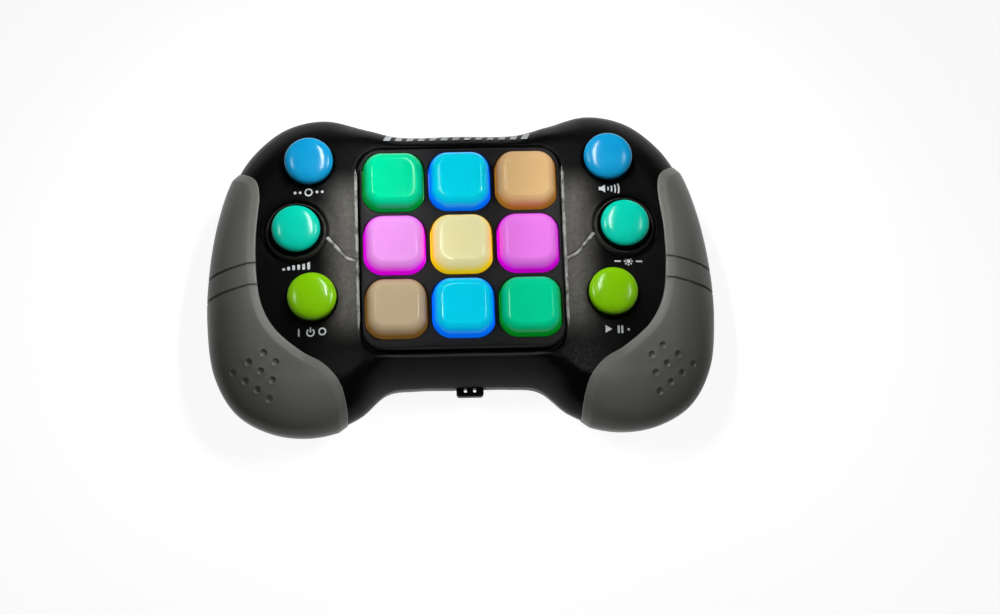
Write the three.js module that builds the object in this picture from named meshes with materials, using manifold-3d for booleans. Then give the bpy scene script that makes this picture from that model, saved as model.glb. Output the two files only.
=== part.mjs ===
// Electronic bubble pop game: a hand-held console that lies on its flat back.
// Millimetres, +X to the right, +Y away from the player, +Z up.
// The origin is the middle of the outer box, at the level that the case rests on.

import * as THREE from "three";
import { mergeVertices } from "three/addons/utils/BufferGeometryUtils.js";
import Module from "manifold-3d";

const wasm = await Module();
wasm.setup();

// Clearances
const seatGap = 0.3;
const slideGap = 0.35;
const screwGap = 0.3;
const cellGap = 0.4;
const cutOverrun = 5;
const shellOverlap = 0.6;

// Bubbles and their panel
const bubblePitch = 19.56;
const bubbleWidth = 17.64;
const bubbleCorner = 5.3;
const bubbleTopWidth = 12.4;
const bubbleTopCorner = 3;
const bubbleRise = 4.2;
const bubbleWall = 2;
const bubbleTravel = 3;
const bubbleFlangeHeight = 1.2;
const bubbleFlangeCatch = 0.3;
const bubbleAirGap = 0.95;
const panelSideMargin = 0.74;
const panelRearMargin = 1.23;
const panelFrontMargin = 2.81;
const panelCorner = 6;
const panelPlate = 4.2;
const panelSkirtDepth = 2.4;
const panelProud = 1.6;
const bubbleShift = 4.18;
const channelWidth = 1.3;
const ledgeHeight = 1.5;
const frameWall = 1.5;

// Case
const sideReach = 44.33;
const endReach = 18.3;
const caseWall = 2.4;
const partingHeight = 11;
const sideFall = 5;
const rearFall = 2;
const hornFall = 4.6;
const sideRim = 14;
const rearRim = 7;
const frontRim = 7;
const sideBottomRim = 11;
const waistBottomRim = 5;

// Grips
const gripProud = 1.2;
const gripRecess = 1;
const gripFoot = 3;
const gripStep = 0.7;
const gripBand = 2.4;
const gripGrooveWidth = 0.8;
const gripGrooveDepth = 0.6;
const dimpleWidth = 2.1;
const dimpleDepth = 0.7;
const dimpleAcross = 4.43;
const dimpleAlong = 2.8;

// Round buttons
const buttonWidth = 14.4;
const buttonRise = 2.8;
const buttonCrown = 2.4;
const buttonTravel = 1.5;
const buttonFlangeReach = 1.1;
const buttonFlangeHeight = 1;
const buttonStemWidth = 4;
const guideDepth = 5;
const guideWall = 1.3;
const collarWidth = 1.2;
const collarRise = 1.1;
const collarGroove = 0.5;
const branchWidth = 1.2;
const branchDepth = 0.5;

// Cells, their bay and its door
const cellWidth = 10.5;
const cellLength = 44.5;
const cellNubWidth = 3.8;
const cellNubHeight = 0.8;
const cellPitch = 11.5;
const bayWall = 1.4;
const bayShift = 4.5;
const contactPlate = 0.5;
const contactReach = 2.6;
const contactSpringWidth = 6;
const contactTabWidth = 3;
const contactTabSlot = 1.4;
const doorThickness = 2;
const doorInset = 0.15;
const doorLip = 1.5;
const doorEnd = 6.4;
const doorPadWall = 1.5;
const doorPadHeight = 4.4;
const bayMargin = 15.4;
const doorSeam = 0.25;

// Screws
const caseScrewHeadWidth = 5;
const caseScrewHeadHeight = 1.6;
const caseScrewWidth = 2.4;
const caseScrewLength = 9;
const caseBossWall = 1.5;
const caseBossShelf = 2.2;
const topBossWidth = 6.4;
const doorScrewHeadWidth = 4.4;
const doorScrewHeadHeight = 0.9;
const doorScrewWidth = 2.2;
const doorScrewLength = 5;
const doorBossWall = 1.6;

// Board and what sits on it
const boardThickness = 1.6;
const boardPostWidth = 5;
const matThickness = 0.8;
const matCollarWall = 1;
const matCollarWidth = 9;
const matCollarHeight = 3.4;
const ledWidth = 3.5;
const ledDepth = 2.8;
const ledHeight = 1.1;
const ledLensWidth = 2.2;
const ledLensHeight = 0.6;
const domeWidth = 6;
const domeHeight = 0.45;
const domeSkirt = 0.15;
const chipWidth = 9;
const chipHeight = 1.6;

// Speaker
const speakerWidth = 28;
const speakerFlange = 1.5;
const speakerFlangeWidth = 3;
const speakerBasketHeight = 3.6;
const speakerMagnetWidth = 14;
const speakerMagnetHeight = 3;
const speakerRingWall = 1.2;
const speakerRingHeight = 3;
const grilleHoleWidth = 2.4;
const grilleRadius = 6;
const grilleHoles = 6;
const leadWidth = 1.4;
const leadBow = 2.5;

// Lanyard anchor
const anchorWidth = 8;
const anchorHeight = 2.4;
const anchorReach = 2;
const anchorShift = 1.95;
const anchorLevel = 8;
const anchorFlangeReach = 2;
const anchorFlangeDepth = 2;
const anchorBar = 1.8;
const anchorRim = 1.15;
const anchorSlotWidth = 0.9;
const anchorNotch = 1.4;

// Smoothness counts
const stationCount = 72;
const cornerSteps = 3;
const roundSides = 20;
const smallSides = 10;
const dimpleSides = 6;
const gripLineSteps = 26;
const bubbleSteps = 2;
const buttonSteps = 3;
const cellSides = 14;
const leadSteps = 8;
const leadSides = 4;

// Cell bay in plan
const bayHalfWidth = cellPitch + cellWidth / 2 + cellGap;
const bayHalfDepth = cellLength / 2 + contactReach + contactPlate + seatGap;
const doorHalfWidth = bayHalfWidth + doorLip;
const doorHalfDepth = bayHalfDepth + doorEnd;

// Plan sizes that follow from the above
const holeWidth = bubbleWidth + 2 * slideGap;
const holeCorner = bubbleCorner + slideGap;
const panelHalfWidth = bubblePitch + holeWidth / 2 + panelSideMargin;
const panelHalfDepth = bubblePitch + holeWidth / 2 + (panelRearMargin + panelFrontMargin) / 2;
const panelShift = bubbleShift + (panelRearMargin - panelFrontMargin) / 2;
const caseHalfWidth = panelHalfWidth + sideReach;
const caseHalfDepth = Math.max(panelHalfDepth + endReach, doorHalfDepth + doorPadWall + bayMargin);
const caseFrontReach = caseHalfDepth - gripProud;
const farReach = caseHalfWidth + caseHalfDepth;
const speakerBasketWidth = speakerWidth - 2 * speakerFlangeWidth;

// Levels, from the bottom up
const doorTop = doorInset + doorThickness;
const cellLevel = doorTop + cellGap + cellWidth / 2;
const bayCeiling = cellLevel + cellWidth / 2 + cellGap;
const boardLevel = bayCeiling + bayWall + seatGap;
const boardTop = boardLevel + boardThickness;
const bubbleFoot = boardTop + matThickness + bubbleTravel + bubbleAirGap;
const panelUnder = bubbleFoot + bubbleFlangeHeight + seatGap;
const panelTop = panelUnder + panelPlate;
const pocketFloor = panelUnder - panelSkirtDepth;
const crownLevel = panelTop - panelProud;
const bubbleTop = panelTop + bubbleRise;
const guideFoot = crownLevel - guideDepth;
const buttonTop = crownLevel + buttonRise;
const domeTop = boardTop + domeHeight;
const aboveAll = bubbleTop + cutOverrun;

// Places on the case: x as a share of the side reach beyond the panel, y as a share of the half depth
const buttonPlaceShares = [
  { row: "upper", xShare: 0.336, yShare: 0.64, collar: false },
  { row: "middle", xShare: 0.427, yShare: 0.208, collar: true },
  { row: "lower", xShare: 0.329, yShare: -0.218, collar: false },
];
const caseScrewShares = [
  { place: "front", xShare: 0.509, yShare: -0.554 },
  { place: "side", xShare: 0.665, yShare: 0.41 },
  { place: "rear", xShare: -0.099, yShare: 0.728 },
];
const boardPostShares = [[0.092, -0.379], [0.092, 0.564]];
const speakerPlaceShares = [0.239, 0.205];
const chipPlaceShares = [0.19, 0.16];
const boardEdgeShares = [[0.554, -0.441], [0.554, 0.738], [0.11, 0.738], [0.04, 0.625]];
const branchShares = [[0.222, 0.166], [0.1, 0.033], [0.028, 0.007]];

// Right half of the case outline, rear middle to front middle: shares of the half width and half depth
const outlineShares = [
  [0, 0.863], [0.24, 0.867], [0.362, 0.925], [0.53, 1], [0.694, 0.949], [0.825, 0.787],
  [0.903, 0.598], [0.957, 0.344], [0.992, 0.024], [1, -0.306], [0.973, -0.627], [0.893, -0.849],
  [0.768, -0.965], [0.634, -1], [0.511, -0.971], [0.407, -0.896], [0.296, -0.75],
  [0.187, -0.73], [0, -0.73],
];

// Inner edge of the right grip, rear end first
const gripLineShares = [
  [0.93, 0.732], [0.77, 0.626], [0.691, 0.557], [0.668, 0.468], [0.691, 0.225], [0.695, -0.015],
  [0.659, -0.245], [0.571, -0.392], [0.4, -0.529], [0.262, -0.607], [0.161, -0.719],
  [0.111, -0.859], [0.104, -0.969], [0.104, -1.2],
];
const grooveLineShares = [
  [[0.66, 0.025], [1.1, -0.03]],
  [[0.66, -0.111], [1.1, -0.168]],
];
const dimpleStartShares = [0.651, -0.533];
const dimpleRows = [[0, 1], [0, 1, 2], [0, 1, 2, 3]];
const dimpleSlopeShare = 0.815;
const dimpleDropShare = 0.533;

// Shape shares of the case rim and falls
const topRimShares = [0.06, 0.2, 0.42, 0.7, 1];
const bottomRimShares = [1, 0.52, 0.22, 0.05];
const crownRingShares = [0.72, 0.36];
const innerTopShares = [0.12, 0.45, 1];
const innerBottomShares = [1, 0.3];
const innerCrownShares = [0.6];
const bubbleSideShares = [[0, 0], [0.06, 0.3], [0.3, 0.64], [0.62, 0.88], [1, 1]];
const waistInnerShare = 0.27;
const waistOuterShare = 0.55;
const hornInnerShare = 0.3;
const hornOuterShare = 0.66;
const fallStartShare = 0.1;
const fallEndShare = 0.94;
const rearFallShare = 0.62;
const roundPower = 2;
const frontPower = 1.25;

const colours = {
  blackCase: 0x17181a,
  greyGrip: 0x50504c,
  panel: 0x2c2d30,
  blue: 0x1894c6,
  teal: 0x08bda3,
  lime: 0x78b109,
  green: 0x00e6a5,
  cyan: 0x00dcf0,
  tan: 0xdeb87c,
  violet: 0xee8cee,
  yellow: 0xeee8aa,
  magenta: 0xe878e8,
  beige: 0xbaa686,
  aqua: 0x00d2f0,
  mint: 0x00d7a0,
  board: 0x1f6b3a,
  mat: 0xe6e6e0,
  metal: 0xb9bbbd,
  led: 0xf6f2dc,
  cell: 0x2f6f4f,
  lead: 0xa02020,
};

function finish(colour, roughness, metalness = 0) {
  return new THREE.MeshStandardMaterial({ color: colour, roughness, metalness });
}

// Solids

function solidOf(geometry) {
  const bare = geometry.clone();
  bare.deleteAttribute("normal");
  bare.deleteAttribute("uv");
  const merged = mergeVertices(bare);
  const index = merged.getIndex().array;
  const triangles = [];
  for (let i = 0; i < index.length; i += 3) {
    const [a, b, c] = [index[i], index[i + 1], index[i + 2]];
    if (a !== b && b !== c && c !== a) triangles.push(a, b, c);
  }
  return new wasm.Manifold(new wasm.Mesh({
    numProp: 3,
    vertProperties: new Float32Array(merged.getAttribute("position").array),
    triVerts: new Uint32Array(triangles),
  }));
}

function geometryOf(solid) {
  const mesh = solid.getMesh();
  const geometry = new THREE.BufferGeometry();
  const positions = new Float32Array(mesh.numVert * 3);
  for (let i = 0; i < mesh.numVert; i += 1) {
    for (let axis = 0; axis < 3; axis += 1) {
      positions[i * 3 + axis] = mesh.vertProperties[i * mesh.numProp + axis];
    }
  }
  geometry.setAttribute("position", new THREE.BufferAttribute(positions, 3));
  geometry.setIndex(Array.from(mesh.triVerts));
  geometry.computeVertexNormals();
  return geometry;
}

function joined(solids) {
  return solids.reduce((sum, solid) => sum.add(solid));
}

function prism(shape, low, high) {
  const geometry = new THREE.ExtrudeGeometry(shape, {
    depth: high - low,
    bevelEnabled: false,
    curveSegments: cornerSteps,
  });
  return solidOf(geometry.translate(0, 0, low));
}

function column(x, y, width, low, high, sides = roundSides) {
  const geometry = new THREE.CylinderGeometry(width / 2, width / 2, high - low, sides);
  geometry.rotateX(Math.PI / 2);
  return solidOf(geometry.translate(x, y, (low + high) / 2));
}

function block(x, y, halfWidth, halfDepth, low, high) {
  const geometry = new THREE.BoxGeometry(2 * halfWidth, 2 * halfDepth, high - low);
  return solidOf(geometry.translate(x, y, (low + high) / 2));
}

// The profile's points are [radius, level], and it starts and ends on the axis.
function turned(profile, sides = roundSides) {
  const points = profile.map(([radius, level]) => new THREE.Vector2(radius, level));
  const geometry = new THREE.LatheGeometry(points, sides);
  return solidOf(geometry.rotateX(Math.PI / 2));
}

// A closed skin through rings of equally many points, lowest first, each one anticlockwise.
function lofted(rings) {
  const count = rings[0].length;
  const positions = [];
  const index = [];
  for (const ring of rings) {
    for (const point of ring) positions.push(point.x, point.y, point.z);
  }
  for (let level = 0; level + 1 < rings.length; level += 1) {
    for (let i = 0; i < count; i += 1) {
      const next = (i + 1) % count;
      const a = level * count + i;
      const b = level * count + next;
      index.push(a, b, b + count, a, b + count, a + count);
    }
  }
  for (const level of [0, rings.length - 1]) {
    const middle = positions.length / 3;
    const centre = new THREE.Vector3();
    for (const point of rings[level]) centre.add(point);
    centre.divideScalar(count);
    positions.push(centre.x, centre.y, centre.z);
    for (let i = 0; i < count; i += 1) {
      const a = level * count + i;
      const b = level * count + ((i + 1) % count);
      if (level === 0) index.push(middle, b, a);
      else index.push(middle, a, b);
    }
  }
  const geometry = new THREE.BufferGeometry();
  geometry.setAttribute("position", new THREE.Float32BufferAttribute(positions, 3));
  geometry.setIndex(index);
  return solidOf(geometry);
}

function roundedRing(halfWidth, corner, level, steps = cornerSteps) {
  const ring = [];
  const inner = halfWidth - corner;
  for (let quarter = 0; quarter < 4; quarter += 1) {
    const turn = quarter * Math.PI / 2;
    const signX = Math.sign(Math.cos(turn + Math.PI / 4));
    const signY = Math.sign(Math.sin(turn + Math.PI / 4));
    for (let step = 0; step <= steps; step += 1) {
      const angle = turn + step / steps * Math.PI / 2;
      const x = signX * inner + corner * Math.cos(angle);
      const y = signY * inner + corner * Math.sin(angle);
      ring.push(new THREE.Vector3(x, y, level));
    }
  }
  return ring;
}

function roundedShape(x, y, halfWidth, halfDepth, corner) {
  const shape = new THREE.Shape();
  shape.moveTo(x + halfWidth, y + halfDepth - corner);
  shape.absarc(x + halfWidth - corner, y + halfDepth - corner, corner, 0, Math.PI / 2);
  shape.absarc(x - halfWidth + corner, y + halfDepth - corner, corner, Math.PI / 2, Math.PI);
  shape.absarc(x - halfWidth + corner, y - halfDepth + corner, corner, Math.PI, 1.5 * Math.PI);
  shape.absarc(x + halfWidth - corner, y - halfDepth + corner, corner, 1.5 * Math.PI, 2 * Math.PI);
  return shape;
}

function mirrored(solid) {
  return solid.mirror([1, 0, 0]);
}

// Places

function sidePlace(xShare, yShare) {
  return [panelHalfWidth + xShare * sideReach, yShare * caseHalfDepth];
}

function smooth(low, high, value) {
  return THREE.MathUtils.smoothstep(value, low, high);
}

function crownHeight(x, y) {
  const aside = Math.abs(x) / caseHalfWidth;
  const forward = -y / caseHalfDepth;
  const horn = smooth(hornInnerShare, hornOuterShare, aside);
  const fallForward = smooth(fallStartShare, fallEndShare, forward);
  const fallBack = smooth(rearFallShare, 1, -forward);
  return crownLevel - sideFall * aside ** 2 - rearFall * fallBack - hornFall * horn * fallForward;
}

// The case outline as evenly spaced stations, each with its outward direction

function outlineStations(count) {
  const half = outlineShares.map(([xShare, yShare]) => {
    const reach = yShare > 0 ? caseHalfDepth : caseFrontReach;
    return new THREE.Vector3(xShare * caseHalfWidth, yShare * reach, 0);
  });
  const other = half.slice(1, -1).map((point) => new THREE.Vector3(-point.x, point.y, 0));
  const anticlockwise = [...other, half[half.length - 1], ...half.slice(0, -1).reverse()];
  const curve = new THREE.CatmullRomCurve3(anticlockwise, true, "centripetal");
  curve.arcLengthDivisions = count * 8;
  const points = curve.getSpacedPoints(count).slice(0, count);
  return points.map((point, i) => {
    const ahead = points[(i + 1) % count];
    const behind = points[(i + count - 1) % count];
    const along = ahead.clone().sub(behind).normalize();
    return { x: point.x, y: point.y, outX: along.y, outY: -along.x };
  });
}

const stations = outlineStations(stationCount);
const coarseStations = stations.filter((station, i) => i % 2 === 0);

function rimWidth(station, waist, side) {
  const aside = smooth(waistInnerShare, waistOuterShare, Math.abs(station.x) / caseHalfWidth);
  return THREE.MathUtils.lerp(waist, side, aside);
}

function rimPower(station) {
  const aside = smooth(waistInnerShare, waistOuterShare, Math.abs(station.x) / caseHalfWidth);
  if (station.y > 0) return roundPower;
  return THREE.MathUtils.lerp(frontPower, roundPower, aside);
}

function rimRise(share, power) {
  return (1 - (1 - share) ** power) ** (1 / power);
}

// The case's outer form, moved outwards by offset, or inwards where offset is negative
function caseForm(offset, places, bottomShares, topShares, crownShares) {
  const at = (station, inward, level) => new THREE.Vector3(
    station.x + station.outX * (offset - inward),
    station.y + station.outY * (offset - inward),
    level,
  );
  const rings = [];
  for (const share of bottomShares) {
    rings.push(places.map((station) => {
      const rim = rimWidth(station, waistBottomRim, sideBottomRim) + offset;
      const drop = (partingHeight + offset) * rimRise(share, roundPower);
      return at(station, share * rim, partingHeight - drop);
    }));
  }
  rings.push(places.map((station) => at(station, 0, partingHeight)));
  for (const share of topShares) {
    rings.push(places.map((station) => {
      const waist = station.y > 0 ? rearRim : frontRim;
      const rim = rimWidth(station, waist, sideRim) + offset;
      const point = at(station, share * rim, 0);
      const rise = crownHeight(point.x, point.y) + offset - partingHeight;
      point.z = partingHeight + rise * rimRise(share, rimPower(station));
      return point;
    }));
  }
  const edge = rings[rings.length - 1];
  for (const share of crownShares) {
    rings.push(edge.map((point) => {
      const [x, y] = [point.x * share, point.y * share];
      return new THREE.Vector3(x, y, crownHeight(x, y) + offset);
    }));
  }
  return lofted(rings);
}

function fineForm(offset) {
  return caseForm(offset, stations, bottomRimShares, topRimShares, crownRingShares);
}

function coarseForm(offset) {
  return caseForm(offset, coarseStations, innerBottomShares, innerTopShares, innerCrownShares);
}

const outerForm = fineForm(0);
const cavityForm = coarseForm(-caseWall);
const recessForm = coarseForm(-gripRecess);
const ribForm = coarseForm(-caseWall / 2);

function slab(low, high) {
  return block(0, 0, farReach, farReach, low, high);
}

// Grips

function gripLine(shift) {
  const knots = gripLineShares.map(([xShare, yShare]) => {
    const [x, y] = sidePlace(xShare, yShare);
    return new THREE.Vector3(x, y, 0);
  });
  const curve = new THREE.CatmullRomCurve3(knots, false, "centripetal");
  const points = curve.getSpacedPoints(gripLineSteps);
  return points.map((point, i) => {
    const ahead = points[Math.min(i + 1, gripLineSteps)];
    const behind = points[Math.max(i - 1, 0)];
    const along = ahead.clone().sub(behind).normalize();
    return new THREE.Vector2(point.x - along.y * shift, point.y + along.x * shift);
  });
}

// The plan area of the right grip, its inner edge moved outwards by shift
function gripArea(shift, low) {
  const line = gripLine(shift);
  const shape = new THREE.Shape();
  shape.moveTo(farReach, line[0].y);
  for (const point of line) shape.lineTo(point.x, point.y);
  shape.lineTo(line[line.length - 1].x, -farReach);
  shape.lineTo(farReach, -farReach);
  return prism(shape, low, aboveAll);
}

function grooveCut([from, to]) {
  const [x1, y1] = sidePlace(...from);
  const [x2, y2] = sidePlace(...to);
  const length = Math.hypot(x2 - x1, y2 - y1);
  const strip = new THREE.BoxGeometry(length, gripGrooveWidth, aboveAll);
  strip.rotateZ(Math.atan2(y2 - y1, x2 - x1));
  return solidOf(strip.translate((x1 + x2) / 2, (y1 + y2) / 2, aboveAll / 2));
}

function dimpleCuts() {
  const [startX, startY] = sidePlace(...dimpleStartShares);
  const cuts = [];
  dimpleRows.forEach((columns, row) => {
    for (const step of columns) {
      const x = startX - step * dimpleAlong / dimpleSlopeShare + row * dimpleAcross;
      const y = startY - step * dimpleAlong - row * dimpleAcross * dimpleDropShare;
      const floor = crownHeight(x, y) + gripProud - dimpleDepth;
      cuts.push(column(x, y, dimpleWidth, dimpleFloor(x, y, floor), aboveAll, dimpleSides));
    }
  });
  return joined(cuts);
}

// Where the rim already falls away, a dimple starts from the rim's own height
function dimpleFloor(x, y, floor) {
  let nearest = farReach;
  let rim = sideRim;
  for (const station of stations) {
    const away = Math.hypot(station.x - x, station.y - y);
    if (away < nearest) {
      nearest = away;
      rim = rimWidth(station, frontRim, sideRim);
    }
  }
  const share = Math.min((nearest + gripProud) / (rim + gripProud), 1);
  const fall = (crownHeight(x, y) - partingHeight) * (1 - rimRise(share, roundPower));
  return floor - fall;
}

function makeGrip() {
  const crown = fineForm(gripProud).intersect(gripArea(gripBand, gripFoot));
  const band = fineForm(gripProud - gripStep).intersect(gripArea(0, gripFoot));
  const hollow = coarseForm(seatGap - gripRecess);
  const grooveFloor = fineForm(gripProud - gripGrooveDepth);
  const grooves = joined(grooveLineShares.map(grooveCut)).subtract(grooveFloor);
  return crown.add(band).subtract(hollow).subtract(grooves).subtract(dimpleCuts());
}

function gripRecessCut() {
  const right = gripArea(-seatGap, gripFoot - seatGap).subtract(recessForm);
  return right.add(mirrored(right));
}

// Case screws

function caseScrewPlaces() {
  const places = [];
  for (const side of [1, -1]) {
    for (const { place, xShare, yShare } of caseScrewShares) {
      const [x, y] = sidePlace(xShare, yShare);
      const hand = side > 0 ? "right" : "left";
      places.push({ name: `${place}_${hand}_case_screw`, x: side * x, y });
    }
  }
  return places;
}

const caseBossTop = partingHeight - seatGap;
const caseShelf = caseBossTop - caseBossShelf;
const wellWidth = caseScrewHeadWidth + 2 * screwGap;
const caseBoreWidth = caseScrewWidth + 2 * screwGap;

function makeCaseScrew(x, y) {
  const headTop = caseShelf - screwGap / 2;
  const head = column(x, y, caseScrewHeadWidth, headTop - caseScrewHeadHeight, headTop, smallSides);
  const shank = column(x, y, caseScrewWidth, headTop - shellOverlap, headTop + caseScrewLength,
    smallSides);
  return head.add(shank);
}

// Button places

function buttonPlaces() {
  const places = [];
  for (const side of [-1, 1]) {
    for (const { row, xShare, yShare, collar } of buttonPlaceShares) {
      const [x, y] = sidePlace(xShare, yShare);
      places.push({ name: `${row}_${side > 0 ? "right" : "left"}_button`, row, x: side * x, y, collar });
    }
  }
  return places;
}

const buttonHoleWidth = buttonWidth + 2 * slideGap;
const guideWidth = buttonHoleWidth + 2 * guideWall;
const flangeWidth = buttonWidth + 2 * buttonFlangeReach;

// Top case

function panelFrame() {
  const halfWidth = panelHalfWidth + channelWidth + frameWall;
  const halfDepth = panelHalfDepth + channelWidth + frameWall;
  const corner = panelCorner + channelWidth + frameWall;
  const outline = roundedShape(0, panelShift, halfWidth, halfDepth, corner);
  return prism(outline, pocketFloor - ledgeHeight, aboveAll).intersect(ribForm);
}

// The opening under the panel, which lets the bubbles' flanges pass
function flangeWindow() {
  const half = bubblePitch + holeWidth / 2 + bubbleFlangeCatch + seatGap;
  return roundedShape(0, bubbleShift, half, half, bubbleCorner + seatGap);
}

function panelPocket() {
  const halfWidth = panelHalfWidth + channelWidth;
  const halfDepth = panelHalfDepth + channelWidth;
  const corner = panelCorner + channelWidth;
  const pocket = prism(roundedShape(0, panelShift, halfWidth, halfDepth, corner), pocketFloor, aboveAll);
  return pocket.add(prism(flangeWindow(), boardTop, aboveAll));
}

function collarRing(x, y) {
  const inner = buttonHoleWidth / 2;
  const outer = inner + collarWidth;
  const top = crownHeight(x, y) + collarRise;
  const low = guideFoot + shellOverlap;
  const profile = [
    [0, low], [outer, low], [outer, top - collarRise / 2], [outer - collarWidth / 3, top],
    [inner + collarWidth / 3, top], [0, top],
  ];
  return turned(profile).translate([x, y, 0]);
}

function collarGrooveCut(x, y) {
  const inner = buttonHoleWidth + 2 * collarWidth;
  const ring = column(x, y, inner + 2 * collarGroove, partingHeight, aboveAll);
  return ring.subtract(column(x, y, inner, partingHeight - cutOverrun, aboveAll + cutOverrun));
}

// The shallow groove that runs from the middle button's collar to the panel's channel
function branchCut() {
  const line = branchShares.map((shares) => new THREE.Vector2(...sidePlace(...shares)));
  const half = branchWidth / 2;
  const strips = line.slice(1).map((to, i) => {
    const from = line[i];
    const strip = new THREE.BoxGeometry(from.distanceTo(to) + half, branchWidth, aboveAll);
    strip.rotateZ(Math.atan2(to.y - from.y, to.x - from.x));
    return solidOf(strip.translate((from.x + to.x) / 2, (from.y + to.y) / 2, aboveAll / 2));
  });
  return joined(strips);
}

function makeTopCase() {
  let shell = outerForm.subtract(cavityForm).intersect(slab(partingHeight, aboveAll));
  const ribs = [panelFrame()];
  for (const { x, y } of buttonPlaces()) {
    ribs.push(column(x, y, guideWidth, guideFoot, aboveAll).intersect(ribForm));
  }
  for (const { x, y } of caseScrewPlaces()) {
    ribs.push(column(x, y, topBossWidth, partingHeight, aboveAll, smallSides).intersect(ribForm));
  }
  shell = shell.add(joined(ribs));
  const grooveFloor = fineForm(-branchDepth);
  const branch = branchCut().subtract(grooveFloor);
  const cuts = [panelPocket(), gripRecessCut(), branch, mirrored(branch)];
  for (const { x, y, collar } of buttonPlaces()) {
    if (!collar) continue;
    cuts.push(collarGrooveCut(x, y).subtract(grooveFloor));
    shell = shell.add(collarRing(x, y));
  }
  for (const { x, y } of buttonPlaces()) {
    cuts.push(column(x, y, buttonHoleWidth, boardTop, aboveAll));
    cuts.push(column(x, y, flangeWidth + 2 * slideGap, boardTop, guideFoot));
  }
  for (const { x, y } of caseScrewPlaces()) {
    const depth = caseShelf + caseScrewLength + screwGap;
    cuts.push(column(x, y, caseBoreWidth, 0, depth, smallSides));
  }
  return shell.subtract(joined(cuts));
}

// Bottom case

const speakerPlace = sidePlace(...speakerPlaceShares);
const bayFront = bayShift - bayHalfDepth;
const bayRear = bayShift + bayHalfDepth;
const doorScrewReach = bayHalfDepth + doorEnd / 2;

function doorOutline(growth) {
  return block(0, bayShift, doorHalfWidth + growth, doorHalfDepth + growth, -cutOverrun,
    doorTop + doorSeam / 2);
}

function contactSlot(x, y) {
  return block(x, y, contactTabWidth / 2 + seatGap, contactTabSlot / 2, bayCeiling - shellOverlap,
    boardLevel);
}

function boardPosts() {
  const posts = [];
  for (const side of [1, -1]) {
    for (const shares of boardPostShares) {
      const [x, y] = sidePlace(...shares);
      posts.push(column(side * x, y, boardPostWidth, caseWall - shellOverlap, boardLevel - seatGap,
        smallSides));
    }
  }
  return posts;
}

function grilleCuts() {
  const [x, y] = speakerPlace;
  const cuts = [column(x, y, grilleHoleWidth, -cutOverrun, caseWall + cutOverrun / 2, smallSides)];
  for (let i = 0; i < grilleHoles; i += 1) {
    const angle = i * 2 * Math.PI / grilleHoles;
    const [holeX, holeY] = [x + grilleRadius * Math.cos(angle), y + grilleRadius * Math.sin(angle)];
    cuts.push(column(holeX, holeY, grilleHoleWidth, -cutOverrun, caseWall + cutOverrun / 2, smallSides));
  }
  return cuts;
}

const anchorRoot = -outlineShares[outlineShares.length - 1][1] * caseFrontReach;

function makeBottomCase() {
  const shell = outerForm.subtract(cavityForm).intersect(slab(-cutOverrun, partingHeight));
  const ribFoot = caseWall / 2;
  const bay = block(0, bayShift, bayHalfWidth + bayWall, bayHalfDepth + bayWall, ribFoot,
    bayCeiling + bayWall);
  const pad = block(0, bayShift, doorHalfWidth + doorPadWall, doorHalfDepth + doorPadWall,
    ribFoot, doorPadHeight);
  const [speakerX, speakerY] = speakerPlace;
  const ringWidth = speakerWidth + 2 * seatGap;
  const ringTop = caseWall + speakerRingHeight;
  const ring = column(speakerX, speakerY, ringWidth + 2 * speakerRingWall, caseWall - shellOverlap,
    ringTop).subtract(column(speakerX, speakerY, ringWidth, 0, ringTop + cutOverrun));
  const ribs = [bay, pad, ring, ...boardPosts()];
  for (const { x, y } of caseScrewPlaces()) {
    const boss = column(x, y, wellWidth + 2 * caseBossWall, ribFoot, caseBossTop, smallSides);
    ribs.push(boss.intersect(ribForm));
  }
  for (const end of [-1, 1]) {
    const y = bayShift + end * doorScrewReach;
    const top = doorTop + doorScrewLength + doorBossWall;
    const bossWidth = doorScrewWidth + 2 * doorBossWall + 2 * screwGap;
    ribs.push(column(0, y, bossWidth, ribFoot, top, smallSides));
  }
  const cuts = [gripRecessCut(), doorOutline(doorSeam), ...grilleCuts()];
  cuts.push(block(0, bayShift, bayHalfWidth, bayHalfDepth, 0, bayCeiling));
  cuts.push(contactSlot(-cellPitch, bayFront + contactTabSlot / 2));
  cuts.push(contactSlot(cellPitch, bayRear - contactTabSlot / 2));
  for (const { x, y } of caseScrewPlaces()) {
    cuts.push(column(x, y, wellWidth, -cutOverrun, caseShelf, smallSides));
    cuts.push(column(x, y, caseBoreWidth, -cutOverrun, partingHeight, smallSides));
  }
  for (const end of [-1, 1]) {
    const y = bayShift + end * doorScrewReach;
    const top = doorTop + doorScrewLength + screwGap;
    cuts.push(column(0, y, doorScrewWidth + 2 * screwGap, 0, top, smallSides));
  }
  const anchorCutDepth = cutOverrun + caseWall + 3 * seatGap;
  cuts.push(block(anchorShift, anchorCutDepth / 2 - anchorRoot - cutOverrun, anchorWidth / 2 + seatGap,
    anchorCutDepth / 2, anchorLevel - anchorHeight / 2 - seatGap,
    anchorLevel + anchorHeight / 2 + seatGap));
  cuts.push(block(anchorShift, (anchorNotch - cutOverrun) / 2 - anchorRoot, anchorWidth / 2 + 2 * seatGap,
    (anchorNotch + cutOverrun) / 2, -cutOverrun, anchorLevel + anchorHeight / 2 + 3 * seatGap));
  return shell.add(joined(ribs)).subtract(joined(cuts));
}

// Panel and bubbles

function bubblePlaces() {
  const rows = ["rear", "middle", "front"];
  const columns = ["left", "centre", "right"];
  const shades = [
    [colours.green, colours.cyan, colours.tan],
    [colours.violet, colours.yellow, colours.magenta],
    [colours.beige, colours.aqua, colours.mint],
  ];
  const places = [];
  rows.forEach((rowName, row) => {
    columns.forEach((columnName, across) => {
      places.push({
        name: `${rowName}_${columnName}`,
        x: (across - 1) * bubblePitch,
        y: bubbleShift + (1 - row) * bubblePitch,
        shade: shades[row][across],
      });
    });
  });
  return places;
}

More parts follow.
